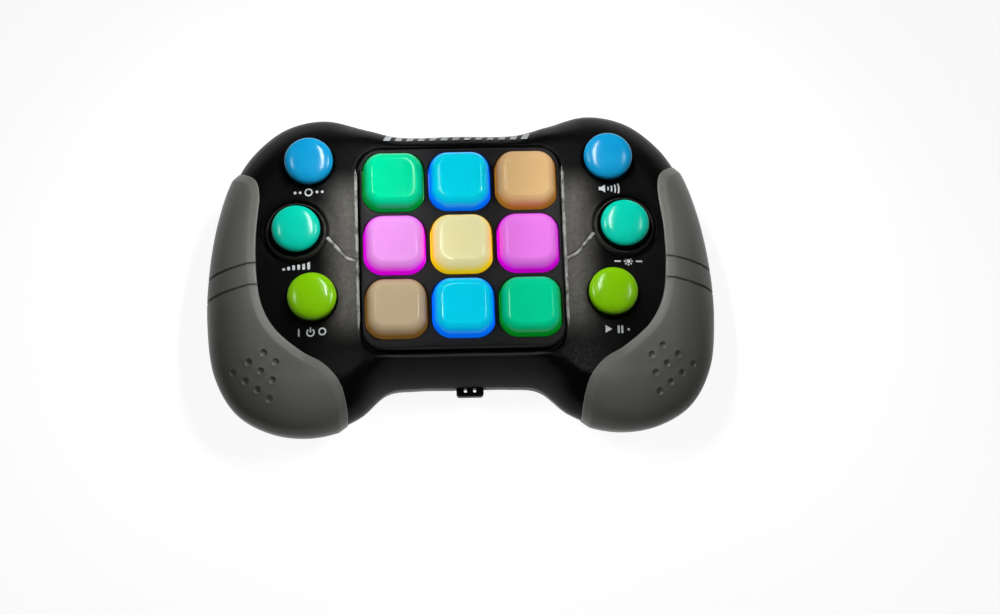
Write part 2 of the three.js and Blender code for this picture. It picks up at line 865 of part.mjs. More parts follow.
function makePanel() {
  const foot = pocketFloor + seatGap;
  const spread = channelWidth - seatGap;
  const upper = roundedShape(0, panelShift, panelHalfWidth, panelHalfDepth, panelCorner);
  const skirt = roundedShape(0, panelShift, panelHalfWidth + spread, panelHalfDepth + spread,
    panelCorner + spread);
  const cuts = [prism(flangeWindow(), boardTop, panelUnder)];
  for (const { x, y } of bubblePlaces()) {
    const hole = roundedShape(x, y, holeWidth / 2, holeWidth / 2, holeCorner);
    cuts.push(prism(hole, panelUnder - cutOverrun, aboveAll));
  }
  return prism(upper, foot, panelTop).add(prism(skirt, foot, panelUnder)).subtract(joined(cuts));
}

function makeBubble(x, y) {
  const half = bubbleWidth / 2;
  const topHalf = bubbleTopWidth / 2;
  const flangeHalf = holeWidth / 2 + bubbleFlangeCatch;
  const flangeTop = bubbleFoot + bubbleFlangeHeight;
  const rings = [
    roundedRing(flangeHalf, bubbleCorner, bubbleFoot, bubbleSteps),
    roundedRing(flangeHalf, bubbleCorner, flangeTop, bubbleSteps),
    roundedRing(half, bubbleCorner, flangeTop, bubbleSteps),
  ];
  for (const [inwardShare, riseShare] of bubbleSideShares) {
    const width = THREE.MathUtils.lerp(half, topHalf, inwardShare);
    const corner = THREE.MathUtils.lerp(bubbleCorner, bubbleTopCorner, inwardShare);
    rings.push(roundedRing(width, corner, panelTop + riseShare * bubbleRise, bubbleSteps));
  }
  const hollowHalf = half - bubbleWall;
  const hollowTop = bubbleTop - bubbleWall;
  const hollowCorner = bubbleCorner - bubbleWall;
  const hollow = lofted([
    roundedRing(hollowHalf, hollowCorner, bubbleFoot - cutOverrun, bubbleSteps),
    roundedRing(hollowHalf, hollowCorner, panelTop, bubbleSteps),
    roundedRing(topHalf - bubbleWall, bubbleTopCorner - bubbleWall / 2, hollowTop, bubbleSteps),
  ]);
  return lofted(rings).subtract(hollow).translate([x, y, 0]);
}

function makeButton(x, y) {
  const radius = buttonWidth / 2;
  const flangeTop = guideFoot - seatGap;
  const flangeFoot = flangeTop - buttonFlangeHeight;
  const stemFoot = domeTop + buttonTravel + seatGap;
  const shoulder = buttonTop - buttonCrown;
  const profile = [
    [0, stemFoot], [buttonStemWidth / 2, stemFoot], [buttonStemWidth / 2, flangeFoot],
    [flangeWidth / 2, flangeFoot], [flangeWidth / 2, flangeTop], [radius, flangeTop],
  ];
  for (let step = 0; step <= buttonSteps; step += 1) {
    const angle = step / buttonSteps * Math.PI / 2;
    profile.push([radius * Math.cos(angle), shoulder + buttonCrown * Math.sin(angle)]);
  }
  profile[profile.length - 1][0] = 0;
  return turned(profile).translate([x, y, 0]);
}

// Board and what sits on it

function makeBoard() {
  const right = boardEdgeShares.map((shares) => sidePlace(...shares));
  const left = right.map(([x, y]) => [-x, y]).reverse();
  const shape = new THREE.Shape([...right, ...left].map(([x, y]) => new THREE.Vector2(x, y)));
  return prism(shape, boardLevel, boardTop);
}

function makeMat() {
  const reach = bubblePitch + matCollarWidth / 2 + matCollarWall;
  const sheetLevel = boardTop + seatGap;
  const sheetTop = boardTop + seatGap + matThickness;
  const solids = [block(0, bubbleShift, reach, reach, sheetLevel, sheetTop)];
  const cuts = [];
  for (const { x, y } of bubblePlaces()) {
    const half = matCollarWidth / 2;
    const innerHalf = half - matCollarWall;
    solids.push(block(x, y, half, half, sheetLevel, sheetLevel + matCollarHeight));
    cuts.push(block(x, y, innerHalf, innerHalf, boardTop - cutOverrun, aboveAll));
  }
  return joined(solids).subtract(joined(cuts));
}

function makeLed(x, y) {
  const foot = boardTop + seatGap / 2;
  const body = block(x, y, ledWidth / 2, ledDepth / 2, foot, foot + ledHeight);
  const lensTop = foot + ledHeight + ledLensHeight;
  return body.add(column(x, y, ledLensWidth, foot + ledHeight / 2, lensTop, dimpleSides));
}

function makeDome(x, y) {
  const foot = boardTop + seatGap / 3;
  const radius = domeWidth / 2;
  const profile = [
    [0, foot], [radius, foot], [radius, foot + domeSkirt], [radius / 2, domeTop - domeSkirt / 2],
    [0, domeTop],
  ];
  return turned(profile, smallSides).translate([x, y, 0]);
}

function makeChip() {
  const [x, y] = sidePlace(...chipPlaceShares);
  const top = boardLevel - seatGap / 2;
  return block(-x, y, chipWidth / 2, chipWidth / 2, top - chipHeight, top);
}

// Cells and their contacts

function makeCell(x, facing) {
  const half = cellLength / 2;
  const radius = cellWidth / 2;
  const chamfer = cellGap;
  const nub = cellNubWidth / 2;
  const profile = [
    [0, -half], [radius - chamfer, -half], [radius, chamfer - half],
    [radius, half - cellNubHeight - chamfer], [radius - chamfer, half - cellNubHeight],
    [nub, half - cellNubHeight], [nub, half], [0, half],
  ];
  const turn = facing > 0 ? -90 : 90;
  return turned(profile, cellSides).rotate([turn, 0, 0]).translate([x, bayShift, cellLevel]);
}

// A contact plate at one end of the bay, with a cone that reaches to each cell it serves
function makeContact(cells, end, withTab) {
  const plateFace = bayShift + end * (bayHalfDepth - seatGap);
  const plateMiddle = plateFace - end * contactPlate / 2;
  const left = Math.min(...cells);
  const right = Math.max(...cells);
  const halfWidth = (right - left) / 2 + contactSpringWidth / 2 + seatGap;
  const half = contactSpringWidth / 2 + seatGap;
  let contact = block((left + right) / 2, plateMiddle, halfWidth, contactPlate / 2, cellLevel - half,
    cellLevel + half);
  const reach = contactReach - seatGap;
  for (const x of cells) {
    const cone = new THREE.CylinderGeometry(contactSpringWidth / 4, contactSpringWidth / 2,
      reach + contactPlate / 2, smallSides);
    if (end > 0) cone.rotateX(Math.PI);
    const middle = plateMiddle - end * (reach + contactPlate / 2) / 2;
    contact = contact.add(solidOf(cone.translate(x, middle, cellLevel)));
  }
  if (!withTab) return contact;
  return contact.add(block(left, plateMiddle, contactTabWidth / 2, contactPlate / 2, cellLevel,
    boardLevel - seatGap));
}

function makeDoor() {
  let door = block(0, bayShift, doorHalfWidth, doorHalfDepth, doorInset, doorTop);
  for (const end of [-1, 1]) {
    const y = bayShift + end * doorScrewReach;
    const sinkTop = doorInset + doorScrewHeadHeight + screwGap;
    door = door.subtract(column(0, y, doorScrewHeadWidth + 2 * screwGap, -cutOverrun, sinkTop, smallSides));
    door = door.subtract(column(0, y, doorScrewWidth + 2 * screwGap, 0, doorTop + cutOverrun, smallSides));
  }
  return door;
}

function makeDoorScrew(end) {
  const y = bayShift + end * doorScrewReach;
  const headTop = doorInset + doorScrewHeadHeight + screwGap / 2;
  const head = column(0, y, doorScrewHeadWidth, doorInset + screwGap / 2, headTop, smallSides);
  const foot = headTop - doorScrewHeadHeight / 2;
  return head.add(column(0, y, doorScrewWidth, foot, doorTop + doorScrewLength, smallSides));
}

// Speaker and its lead

const speakerFoot = caseWall + seatGap;

function makeSpeaker() {
  const [x, y] = speakerPlace;
  const flangeTop = speakerFoot + speakerFlange;
  const basketTop = flangeTop + speakerBasketHeight;
  const magnetTop = basketTop + speakerMagnetHeight;
  const profile = [
    [0, speakerFoot], [speakerWidth / 2, speakerFoot], [speakerWidth / 2, flangeTop],
    [speakerBasketWidth / 2, flangeTop], [speakerMagnetWidth / 2, basketTop],
    [speakerMagnetWidth / 2, magnetTop], [0, magnetTop],
  ];
  return turned(profile).translate([x, y, 0]);
}

function makeSpeakerLead() {
  const [x, y] = speakerPlace;
  const away = (speakerWidth + speakerBasketWidth) / 4 / Math.SQRT2;
  const low = speakerFoot + speakerFlange + seatGap;
  const high = boardLevel - seatGap;
  const route = new THREE.CatmullRomCurve3([
    new THREE.Vector3(x - away, y - away, low),
    new THREE.Vector3(x - away - leadBow / 2, y - away, (3 * low + high) / 4),
    new THREE.Vector3(x - away - leadBow, y - away - leadBow, (low + 3 * high) / 4),
    new THREE.Vector3(x - away - leadBow, y - away - leadBow, high),
  ]);
  const section = new THREE.Shape();
  section.absarc(0, 0, leadWidth / 2, 0, 2 * Math.PI);
  return solidOf(new THREE.ExtrudeGeometry(section, {
    extrudePath: route,
    steps: leadSteps,
    curveSegments: leadSides,
  }));
}

// Lanyard anchor: a tab with two slots, held by its inner flange in a notch of the front wall

function makeAnchor() {
  const front = -anchorRoot - anchorReach;
  const inside = -anchorRoot + caseWall + seatGap;
  const low = anchorLevel - anchorHeight / 2;
  const high = anchorLevel + anchorHeight / 2;
  const tabEnd = inside + 2 * shellOverlap;
  const tab = block(anchorShift, (front + tabEnd) / 2, anchorWidth / 2, (tabEnd - front) / 2, low, high);
  const flangeFront = inside + 2 * seatGap;
  const flange = block(anchorShift, flangeFront + anchorFlangeDepth / 2, anchorWidth / 2 + anchorFlangeReach,
    anchorFlangeDepth / 2, low, high);
  const slotHalf = anchorSlotWidth / 2;
  const slotDepth = anchorReach - anchorRim + anchorNotch - seatGap / 3;
  const slots = [-1, 1].map((side) => block(anchorShift + side * (anchorBar / 2 + slotHalf),
    front + anchorRim + slotDepth / 2, slotHalf, slotDepth / 2, low - cutOverrun, high + cutOverrun));
  return tab.add(flange).subtract(joined(slots));
}

// The whole object

const game = new THREE.Group();
game.name = "bubble_pop_game";

function put(name, solid, material) {
  const mesh = new THREE.Mesh(geometryOf(solid), material);
  mesh.name = name;
  game.add(mesh);
}

const blackPlastic = () => finish(colours.blackCase, 0.45);
const greyRubber = () => finish(colours.greyGrip, 0.7);
const steel = () => finish(colours.metal, 0.35, 1);

put("top_case", makeTopCase(), blackPlastic());
put("bottom_case", makeBottomCase(), blackPlastic());
put("keypad_panel", makePanel(), finish(colours.panel, 0.5));

const grip = makeGrip();
put("right_grip", grip, greyRubber());
put("left_grip", mirrored(grip), greyRubber());

for (const { name, x, y, shade } of bubblePlaces()) {
  put(`${name}_bubble`, makeBubble(x, y), finish(shade, 0.4));
  put(`${name}_led`, makeLed(x, y), finish(colours.led, 0.3));
}

const buttonShades = { upper: colours.blue, middle: colours.teal, lower: colours.lime };
for (const { name, row, x, y } of buttonPlaces()) {
  put(name, makeButton(x, y), finish(buttonShades[row], 0.25));
  put(`${name}_dome`, makeDome(x, y), steel());
}

for (const { name, x, y } of caseScrewPlaces()) put(name, makeCaseScrew(x, y), steel());

put("main_board", makeBoard(), finish(colours.board, 0.5));
put("bubble_mat", makeMat(), finish(colours.mat, 0.6));
put("control_chip", makeChip(), finish(colours.blackCase, 0.4));

["left", "centre", "right"].forEach((place, i) => {
  put(`${place}_cell`, makeCell((i - 1) * cellPitch, i % 2 === 0 ? 1 : -1), finish(colours.cell, 0.4));
});
put("front_single_contact", makeContact([-cellPitch], -1, true), steel());
put("front_bridge_contact", makeContact([0, cellPitch], -1, false), steel());
put("rear_bridge_contact", makeContact([-cellPitch, 0], 1, false), steel());
put("rear_single_contact", makeContact([cellPitch], 1, true), steel());

put("battery_door", makeDoor(), blackPlastic());
put("front_door_screw", makeDoorScrew(-1), steel());
put("rear_door_screw", makeDoorScrew(1), steel());

put("speaker", makeSpeaker(), finish(colours.blackCase, 0.5));
put("speaker_lead", makeSpeakerLead(), finish(colours.lead, 0.5));
put("lanyard_anchor", makeAnchor(), blackPlastic());

export default game;
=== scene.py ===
# Electronic bubble pop game: the looks of its pieces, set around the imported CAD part.
# Lengths are millimetres until a mesh or a light is made, and places come from the frame.

import math

import bpy
import numpy as np
from mathutils import Matrix, Vector
from mathutils.geometry import delaunay_2d_cdt
from mathutils.kdtree import KDTree


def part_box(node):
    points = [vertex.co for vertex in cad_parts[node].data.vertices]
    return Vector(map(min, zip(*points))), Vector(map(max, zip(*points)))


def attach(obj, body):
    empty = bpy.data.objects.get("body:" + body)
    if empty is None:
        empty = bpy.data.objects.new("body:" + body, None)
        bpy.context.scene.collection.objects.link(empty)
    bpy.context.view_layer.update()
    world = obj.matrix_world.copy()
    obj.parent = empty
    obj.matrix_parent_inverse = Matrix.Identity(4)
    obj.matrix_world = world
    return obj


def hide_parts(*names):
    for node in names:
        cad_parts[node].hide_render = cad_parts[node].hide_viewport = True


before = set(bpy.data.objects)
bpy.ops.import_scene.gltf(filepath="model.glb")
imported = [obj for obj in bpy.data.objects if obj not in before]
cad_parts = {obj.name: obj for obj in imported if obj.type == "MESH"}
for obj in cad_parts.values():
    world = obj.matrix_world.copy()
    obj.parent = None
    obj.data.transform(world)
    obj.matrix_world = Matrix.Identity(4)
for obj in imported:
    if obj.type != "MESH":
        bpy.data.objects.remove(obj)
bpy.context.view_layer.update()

MM = 0.001
sides = ((1, "right"), (-1, "left"))
for unused in ("Cube", "Light", "Camera"):
    if unused in bpy.data.objects:
        bpy.data.objects.remove(bpy.data.objects[unused])


def span(node):
    low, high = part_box(node)
    return np.array(low) / MM, np.array(high) / MM


# Clearances and walls, as in the part
seat_gap = 0.3
slide_gap = 0.35
case_wall = 2.4
channel_width = 1.3
parting = 11.0
grip_proud = 1.2
grip_lift = 0.06
side_reach = 44.33
end_reach = 18.3
panel_proud = 1.6

# Places that the frame gives
panel_low, panel_high = span("keypad_panel")
skirt_spread = channel_width - seat_gap
panel_half_width = panel_high[0] - skirt_spread
panel_half_depth = (panel_high[1] - panel_low[1]) / 2 - skirt_spread
panel_shift = (panel_high[1] + panel_low[1]) / 2
panel_top = panel_high[2]
panel_foot = panel_low[2]
panel_corner = 6.0
crown_level = panel_top - panel_proud
case_half_width = panel_half_width + side_reach
case_half_depth = panel_half_depth + end_reach
case_front_reach = case_half_depth - grip_proud
far_reach = case_half_width + case_half_depth

# Shapes of the case rims and falls
side_rim = 14.0
rear_rim = 7.0
front_rim = 7.0
side_bottom_rim = 11.0
waist_bottom_rim = 5.0
side_fall = 5.0
rear_fall = 2.0
horn_fall = 4.6
waist_inner_share = 0.27
waist_outer_share = 0.55
horn_inner_share = 0.3
horn_outer_share = 0.66
fall_start_share = 0.1
fall_end_share = 0.94
rear_fall_share = 0.62
round_power = 2.0
front_power = 1.25
panel_dip = 0.4
panel_dip_reach = 8.5
panel_dip_share = 0.7

# Right half of the case outline, rear middle to front middle: shares of the half width and half depth
outline_shares = [
    (0, 0.863), (0.24, 0.867), (0.362, 0.925), (0.53, 1), (0.694, 0.949), (0.825, 0.787),
    (0.903, 0.598), (0.957, 0.344), (0.992, 0.024), (1, -0.306), (0.973, -0.627),
    (0.893, -0.849), (0.768, -0.965), (0.634, -1), (0.511, -0.971), (0.407, -0.896),
    (0.296, -0.75), (0.187, -0.73), (0, -0.73),
]
# Inner edge of the right grip: x as a share of the side reach beyond the panel, y of the half depth
grip_line_shares = [
    (0.93, 0.732), (0.77, 0.626), (0.691, 0.557), (0.668, 0.468), (0.691, 0.225), (0.695, -0.015),
    (0.659, -0.245), (0.571, -0.392), (0.4, -0.529), (0.262, -0.607), (0.161, -0.719),
    (0.111, -0.859), (0.104, -0.969), (0.104, -1.2),
]
groove_shares = [[(0.66, 0.025), (1.1, -0.03)], [(0.66, -0.111), (1.1, -0.168)]]
dimple_start_share = (0.651, -0.533)
dimple_rows = [(0, 1), (0, 1, 2), (0, 1, 2, 3)]
dimple_slope_share = 0.815
dimple_drop_share = 0.533
dimple_across = 4.43
dimple_along = 2.8
branch_shares = [(0.222, 0.166), (0.1, 0.033), (0.028, 0.007)]

# Depths below a surface at which rings of points lie, closer together where it turns fast
ring_depths = [0, 0.01, 0.04, 0.09, 0.17, 0.28, 0.42, 0.6, 0.85, 1.2, 1.65, 2.25, 3.0]
free_ring_depths = [3.9, 5.1, 6.5, 8, 9.5, 11, 12.5, 14]
lip_step_shares = [0, 0.04, 0.14, 0.3, 0.5, 0.75, 1]
curve_steps = 24
hole_sides = 56
on_edge = 1e-4
beyond_edge = 1e-7
outline_spacing = 0.9
branch_spacing = 0.7
branch_bend_steps = 6
free_point_share = 0.7
points_at_once = 4000


def side_place(shares):
    return np.array([panel_half_width + shares[0] * side_reach, shares[1] * case_half_depth])


# Lines in plan

def curve_through(points, joined, spacing):
    """Evenly spaced points on a smooth curve through listed points."""
    points = np.asarray(points, float)
    count = len(points)
    fine = []
    steps = np.linspace(0, 1, curve_steps + 1)[:-1, None]
    for i in range(count if joined else count - 1):
        if joined:
            p0, p1, p2, p3 = (points[(i + k) % count] for k in (-1, 0, 1, 2))
        else:
            p1, p2 = points[i], points[i + 1]
            p0 = points[i - 1] if i > 0 else 2 * p1 - p2
            p3 = points[i + 2] if i + 2 < count else 2 * p2 - p1
        g0, g1, g2 = (math.sqrt(np.linalg.norm(b - a)) for a, b in ((p0, p1), (p1, p2), (p2, p3)))
        t1 = ((p1 - p0) / g0 - (p2 - p0) / (g0 + g1) + (p2 - p1) / g1) * g1
        t2 = ((p2 - p1) / g1 - (p3 - p1) / (g1 + g2) + (p3 - p2) / g2) * g1
        fine.append(p1 + t1 * steps + (3 * (p2 - p1) - 2 * t1 - t2) * steps ** 2
                    + (2 * (p1 - p2) + t1 + t2) * steps ** 3)
    if not joined:
        fine.append(points[-1:])
    fine = np.vstack(fine)
    path = np.vstack([fine, fine[:1]]) if joined else fine
    along = np.concatenate([[0], np.cumsum(np.linalg.norm(np.diff(path, axis=0), axis=1))])
    parts = max(int(round(along[-1] / spacing)), 4)
    marks = np.linspace(0, along[-1], parts + 1)
    if joined:
        marks = marks[:-1]
    return np.stack([np.interp(marks, along, path[:, k]) for k in (0, 1)], axis=1)


def outward(line, joined):
    """The direction to the right of travel at each point: outwards on an anticlockwise loop."""
    if joined:
        along = np.roll(line, -1, axis=0) - np.roll(line, 1, axis=0)
    else:
        along = np.gradient(line, axis=0)
    along /= np.linalg.norm(along, axis=1)[:, None]
    return np.stack([along[:, 1], -along[:, 0]], axis=1)


def case_outline(spacing):
    half = [np.array([x * case_half_width, y * (case_half_depth if y > 0 else case_front_reach)])
            for x, y in outline_shares]
    other = [point * (-1, 1) for point in half[1:-1]]
    return curve_through([*other, half[-1], *half[:-1][::-1]], True, spacing)


def corner_arcs(x, y, half_width, half_depth, corner, steps):
    """Points of four quarter circles, anticlockwise from the right side."""
    points = []
    for turn, sign_x, sign_y in ((0, 1, 1), (1, -1, 1), (2, -1, -1), (3, 1, -1)):
        for step in range(steps + 1):
            angle = (turn + step / steps) * math.pi / 2
            points.append((x + sign_x * (half_width - corner) + corner * math.cos(angle),
                           y + sign_y * (half_depth - corner) + corner * math.sin(angle)))
    return points


def rounded_loop(x, y, half_width, half_depth, corner, spacing=outline_spacing):
    """An anticlockwise rectangle with round corners."""
    steps = max(int(corner * math.pi / 2 / spacing), 3)
    return divided(np.array(corner_arcs(x, y, half_width, half_depth, corner, steps)), spacing, True)


def divided(line, spacing, joined):
    """The same line with points put in where two lie further apart than the spacing."""
    points = []
    ends = np.roll(line, -1, axis=0) if joined else line[1:]
    for start, end in zip(line, ends):
        parts = max(int(math.ceil(np.linalg.norm(end - start) / spacing - 1e-6)), 1)
        points += [start + (end - start) * k / parts for k in range(parts)]
    if not joined:
        points.append(line[-1])
    return np.array(points)


def circle_loop(x, y, radius, count=hole_sides):
    angles = np.arange(count) * 2 * math.pi / count
    return np.stack([x + radius * np.cos(angles), y + radius * np.sin(angles)], axis=1)


def closed(loops):
    """The loops as closed lines of a net."""
    return [(loop, True) for loop in loops]


def distance_to(points, line, joined=True):
    """Distance from points to a finely divided line, and which stretch of it is nearest."""
    points = np.asarray(points, float)
    away = np.full(len(points), np.inf)
    nearest = np.zeros(len(points), int)
    last = len(line) - 1
    for at in range(0, len(points), points_at_once):
        part = points[at:at + points_at_once]
        square = (part[:, :1] - line[:, 0]) ** 2 + (part[:, 1:] - line[:, 1]) ** 2
        corner = square.argmin(1)
        for first in (corner - 1, corner):
            first = first % len(line) if joined else np.clip(first, 0, last - 1)
            step = line[(first + 1) % len(line)] - line[first]
            offset = part - line[first]
            share = np.clip((offset * step).sum(1) / np.maximum((step ** 2).sum(1), 1e-12), 0, 1)
            gap = np.linalg.norm(offset - share[:, None] * step, axis=1)
            closer = gap < away[at:at + points_at_once]
            away[at:at + points_at_once][closer] = gap[closer]
            nearest[at:at + points_at_once][closer] = first[closer]
    return away, nearest


def inside(points, loop):
    """Which points a closed loop surrounds."""
    points = np.asarray(points, float)
    within = np.zeros(len(points), bool)
    for (x1, y1), (x2, y2) in zip(loop, np.roll(loop, -1, axis=0)):
        if y1 == y2:
            continue
        crosses = (y1 > points[:, 1]) != (y2 > points[:, 1])
        within ^= crosses & (points[:, 0] < (x2 - x1) * (points[:, 1] - y1) / (y2 - y1) + x1)
    return within


def close_to(points, places, radius):
    """Which points lie closer than the radius to one of the places."""
    close = np.zeros(len(points), bool)
    for place in places:
        close |= np.hypot(*(points - place).T) < radius
    return close


def in_box(points, x, y, half_width, half_depth):
    return (np.abs(points[:, 0] - x) < half_width) & (np.abs(points[:, 1] - y) < half_depth)


def signed_distance(points, loop):
    """Distance outside a loop, below zero within it."""
    away, _ = distance_to(points, loop)
    return np.where(inside(points, loop), -away, away)


# The case's outer form

outline = case_outline(outline_spacing)
outline_out = outward(outline, True)


def smooth(low, high, value):
    share = np.clip((value - low) / (high - low), 0, 1)
    return share * share * (3 - 2 * share)


def crown_height(points):
    aside = np.abs(points[:, 0]) / case_half_width
    forward = -points[:, 1] / case_half_depth
    horn = smooth(horn_inner_share, horn_outer_share, aside)
    fall_forward = smooth(fall_start_share, fall_end_share, forward)
    fall_back = smooth(rear_fall_share, 1, -forward)
    beside = np.abs(points[:, 0]) - panel_half_width - channel_width
    along = np.abs(points[:, 1] - panel_shift) / panel_half_depth
    dip = panel_dip * (1 - smooth(0, panel_dip_reach, np.maximum(beside, 0)))
    dip *= (1 - smooth(panel_dip_share, 1, along)) * smooth(-channel_width, 0, beside)
    return (crown_level - side_fall * aside ** 2 - rear_fall * fall_back - horn_fall * horn * fall_forward
            - dip)


def rim_place(points):
    """How far in from the outline each point is, and how far aside and behind its nearest place is."""
    away, nearest = distance_to(points, outline)
    ahead = (nearest + 1) % len(outline)
    way_out = outline_out[nearest] + outline_out[ahead]
    beyond = ((points - (outline[nearest] + outline[ahead]) / 2) * way_out).sum(1) > 0
    depth = np.where(beyond & (away > beyond_edge), -away, away)
    place = (outline[nearest] + outline[ahead]) / 2
    aside = smooth(waist_inner_share, waist_outer_share, np.abs(place[:, 0]) / case_half_width)
    return depth, aside, place[:, 1] > 0


def rim_rise(share, power):
    share = np.clip(share, 0, 1)
    return (1 - (1 - share) ** power) ** (1 / power)


def top_height(points, offset=0.0):
    depth, aside, behind = rim_place(points)
    waist = np.where(behind, rear_rim, front_rim)
    rim = waist + (side_rim - waist) * aside + offset
    power = np.where(behind, round_power, front_power + (round_power - front_power) * aside)
    rise = rim_rise((depth + offset) / rim, power)
    return parting + (crown_height(points) + offset - parting) * rise


def bottom_height(points, offset=0.0):
    depth, aside, _ = rim_place(points)
    rim = waist_bottom_rim + (side_bottom_rim - waist_bottom_rim) * aside + offset
    return parting - (parting + offset) * rim_rise((depth + offset) / rim, round_power)


def lip_fall(away, radius):
    """How far a rounded edge has fallen, at a distance inwards from where it ends."""
    share = 1 - np.clip(away / radius, 0, 1)
    return radius * (1 - np.sqrt(np.maximum(1 - share ** 2, 0)))


# Nets and skins

def flat_net(lines, free_points, spacing):
    """Points, triangles and their middles, keeping to lines given as (points, whether closed)."""
    points = []
    edges = []
    for line, joined in lines:
        first = len(points)
        points += [tuple(point) for point in line]
        edges += [(first + k, first + k + 1) for k in range(len(line) - 1)]
        if joined:
            edges.append((first + len(line) - 1, first))
    if len(free_points):
        tree = kd_tree(points)
        free = [tuple(p) for p in free_points
                if tree.find((p[0], p[1], 0))[2] > free_point_share * spacing]
        points += free
    made = delaunay_2d_cdt([Vector(point) for point in points], edges, [], 0, 1e-6, False)
    points, triangles = np.array([tuple(p) for p in made[0]]), np.array(made[2], int)
    return points, triangles, points[triangles].mean(1)


def kd_tree(points):
    tree = KDTree(len(points))
    for i, point in enumerate(points):
        tree.insert((point[0], point[1], 0), i)
    tree.balance()
    return tree


def hex_points(loop, spacing):
    """Points spread evenly within a loop."""
    low, high = loop.min(0), loop.max(0)
    rows = np.arange(low[1], high[1], spacing * math.sqrt(3) / 2)
    points = [(x, y) for row, y in enumerate(rows)
              for x in np.arange(low[0] + (row % 2) * spacing / 2, high[0], spacing)]
    points = np.array(points)
    return points[inside(points, loop)]


class Skin:
    """A closed surface put together over flat nets."""

    def __init__(self):
        self.vertices = []
        self.faces = []
        self.known = {}

    def vertex(self, x, y, z):
        key = (round(x, 5), round(y, 5), round(z, 5))
        if key not in self.known:
            self.known[key] = len(self.vertices)
            self.vertices.append((x, y, z))
        return self.known[key]

    def face(self, corners):
        kept = [c for c, before in zip(corners, [corners[-1], *corners[:-1]]) if c != before]
        if len(kept) > 2:
            self.faces.append(kept)

    def terrace(self, points, triangles, regions, low_shift=None, high_shift=None):
        """Fills each region of a net between its low and high levels.
        A region is (chosen triangles, low, high) and may end in (low is drawn, high is drawn)."""
        region_of = np.full(len(triangles), -1)
        for number, (chosen, *_) in enumerate(regions):
            region_of[chosen] = number
        low_place = (points if low_shift is None else points + low_shift).tolist()
        high_place = (points if high_shift is None else points + high_shift).tolist()
        lows, highs = ([(np.broadcast_to(region[end], len(points)).tolist(), {}) for region in regions]
                       for end in (1, 2))

        def found(place, levels, i):
            level, made = levels
            if i not in made:
                made[i] = self.vertex(*place[i], level[i])
            return made[i]

        def low_at(number, i):
            return found(low_place, lows[number], i)

        def high_at(number, i):
            return found(high_place, highs[number], i)

        beside = {}
        for number, (a, b, c) in zip(region_of.tolist(), triangles.tolist()):
            if number < 0:
                continue
            draws_low, draws_high = regions[number][3:] or (True, True)
            if draws_high:
                self.face([high_at(number, i) for i in (a, b, c)])
            if draws_low:
                self.face([low_at(number, i) for i in (c, b, a)])
            for edge in ((a, b), (b, c), (c, a)):
                beside[edge] = number
        for (a, b), number in beside.items():
            other = beside.get((b, a), -1)
            if other < 0:
                self.face([low_at(number, a), low_at(number, b), high_at(number, b), high_at(number, a)])
            elif other != number and number < other:
                if regions[number][2] is not regions[other][2]:
                    self.face([high_at(other, a), high_at(other, b), high_at(number, b),
                               high_at(number, a)])
                if regions[number][1] is not regions[other][1]:
                    self.face([low_at(number, a), low_at(number, b), low_at(other, b),
                               low_at(other, a)])

    def loft(self, rings):
        """A closed skin through rings of equally many points, lowest first."""
        indices = [[self.vertex(*point) for point in ring] for ring in rings]
        for lower, upper in zip(indices, indices[1:]):
            for k in range(len(lower)):
                n = (k + 1) % len(lower)
                self.face([lower[k], lower[n], upper[n], upper[k]])
        self.face(indices[0][::-1])
        self.face(indices[-1])

    def piece(self, name, material, body, slot, sharp=40, mirror=False):
        vertices = np.array(self.vertices, float)
        faces = self.faces
        if mirror:
            vertices = vertices * (-1, 1, 1)
            faces = [face[::-1] for face in faces]
        mesh = bpy.data.meshes.new(name)
        mesh.from_pydata((vertices * MM).tolist(), [], faces)
        mesh.validate()
        mesh.shade_smooth()
        mesh.set_sharp_from_angle(angle=math.radians(sharp))
        mesh.materials.append(material)
        made = bpy.data.objects.new(name, mesh)
        bpy.context.scene.collection.objects.link(made)
        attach(made, body)
        return made


# Finishes

def linear(red, green, blue):
    """A screen colour from 0 to 255 as the shader's own."""
    shares = [value / 255 for value in (red, green, blue)]
    return tuple(s / 12.92 if s <= 0.04045 else ((s + 0.055) / 1.055) ** 2.4 for s in shares) + (1.0,)


def node_group(name, inputs, outputs):
    group = bpy.data.node_groups.new(name, "ShaderNodeTree")
    for label, value in inputs:
        kind = "NodeSocketFloat" if isinstance(value, float) else "NodeSocketColor"
        socket = group.interface.new_socket(label, in_out="INPUT", socket_type=kind)
        socket.default_value = value
    for label, kind in outputs:
        group.interface.new_socket(label, in_out="OUTPUT", socket_type=kind)
    return group, group.nodes.new("NodeGroupInput"), group.nodes.new("NodeGroupOutput")


def noise(tree, scale, detail):
    """Noise over the object's own coordinates; scale is a number or a socket."""
    place = tree.nodes.new("ShaderNodeTexCoord")
    texture = tree.nodes.new("ShaderNodeTexNoise")
    texture.inputs["Detail"].default_value = detail
    tree.links.new(place.outputs["Object"], texture.inputs["Vector"])
    if isinstance(scale, bpy.types.NodeSocket):
        tree.links.new(scale, texture.inputs["Scale"])
    else:
        texture.inputs["Scale"].default_value = scale
    return texture.outputs["Fac"]


def ranged(tree, value, from_low, from_high, to_low, to_high, smooth_step=False):
    node = tree.nodes.new("ShaderNodeMapRange")
    if smooth_step:
        node.interpolation_type = "SMOOTHSTEP"
    for label, number in (("Value", value), ("From Min", from_low), ("From Max", from_high),
                          ("To Min", to_low), ("To Max", to_high)):
        if isinstance(number, bpy.types.NodeSocket):
            tree.links.new(number, node.inputs[label])
        else:
            node.inputs[label].default_value = number
    return node.outputs["Result"]


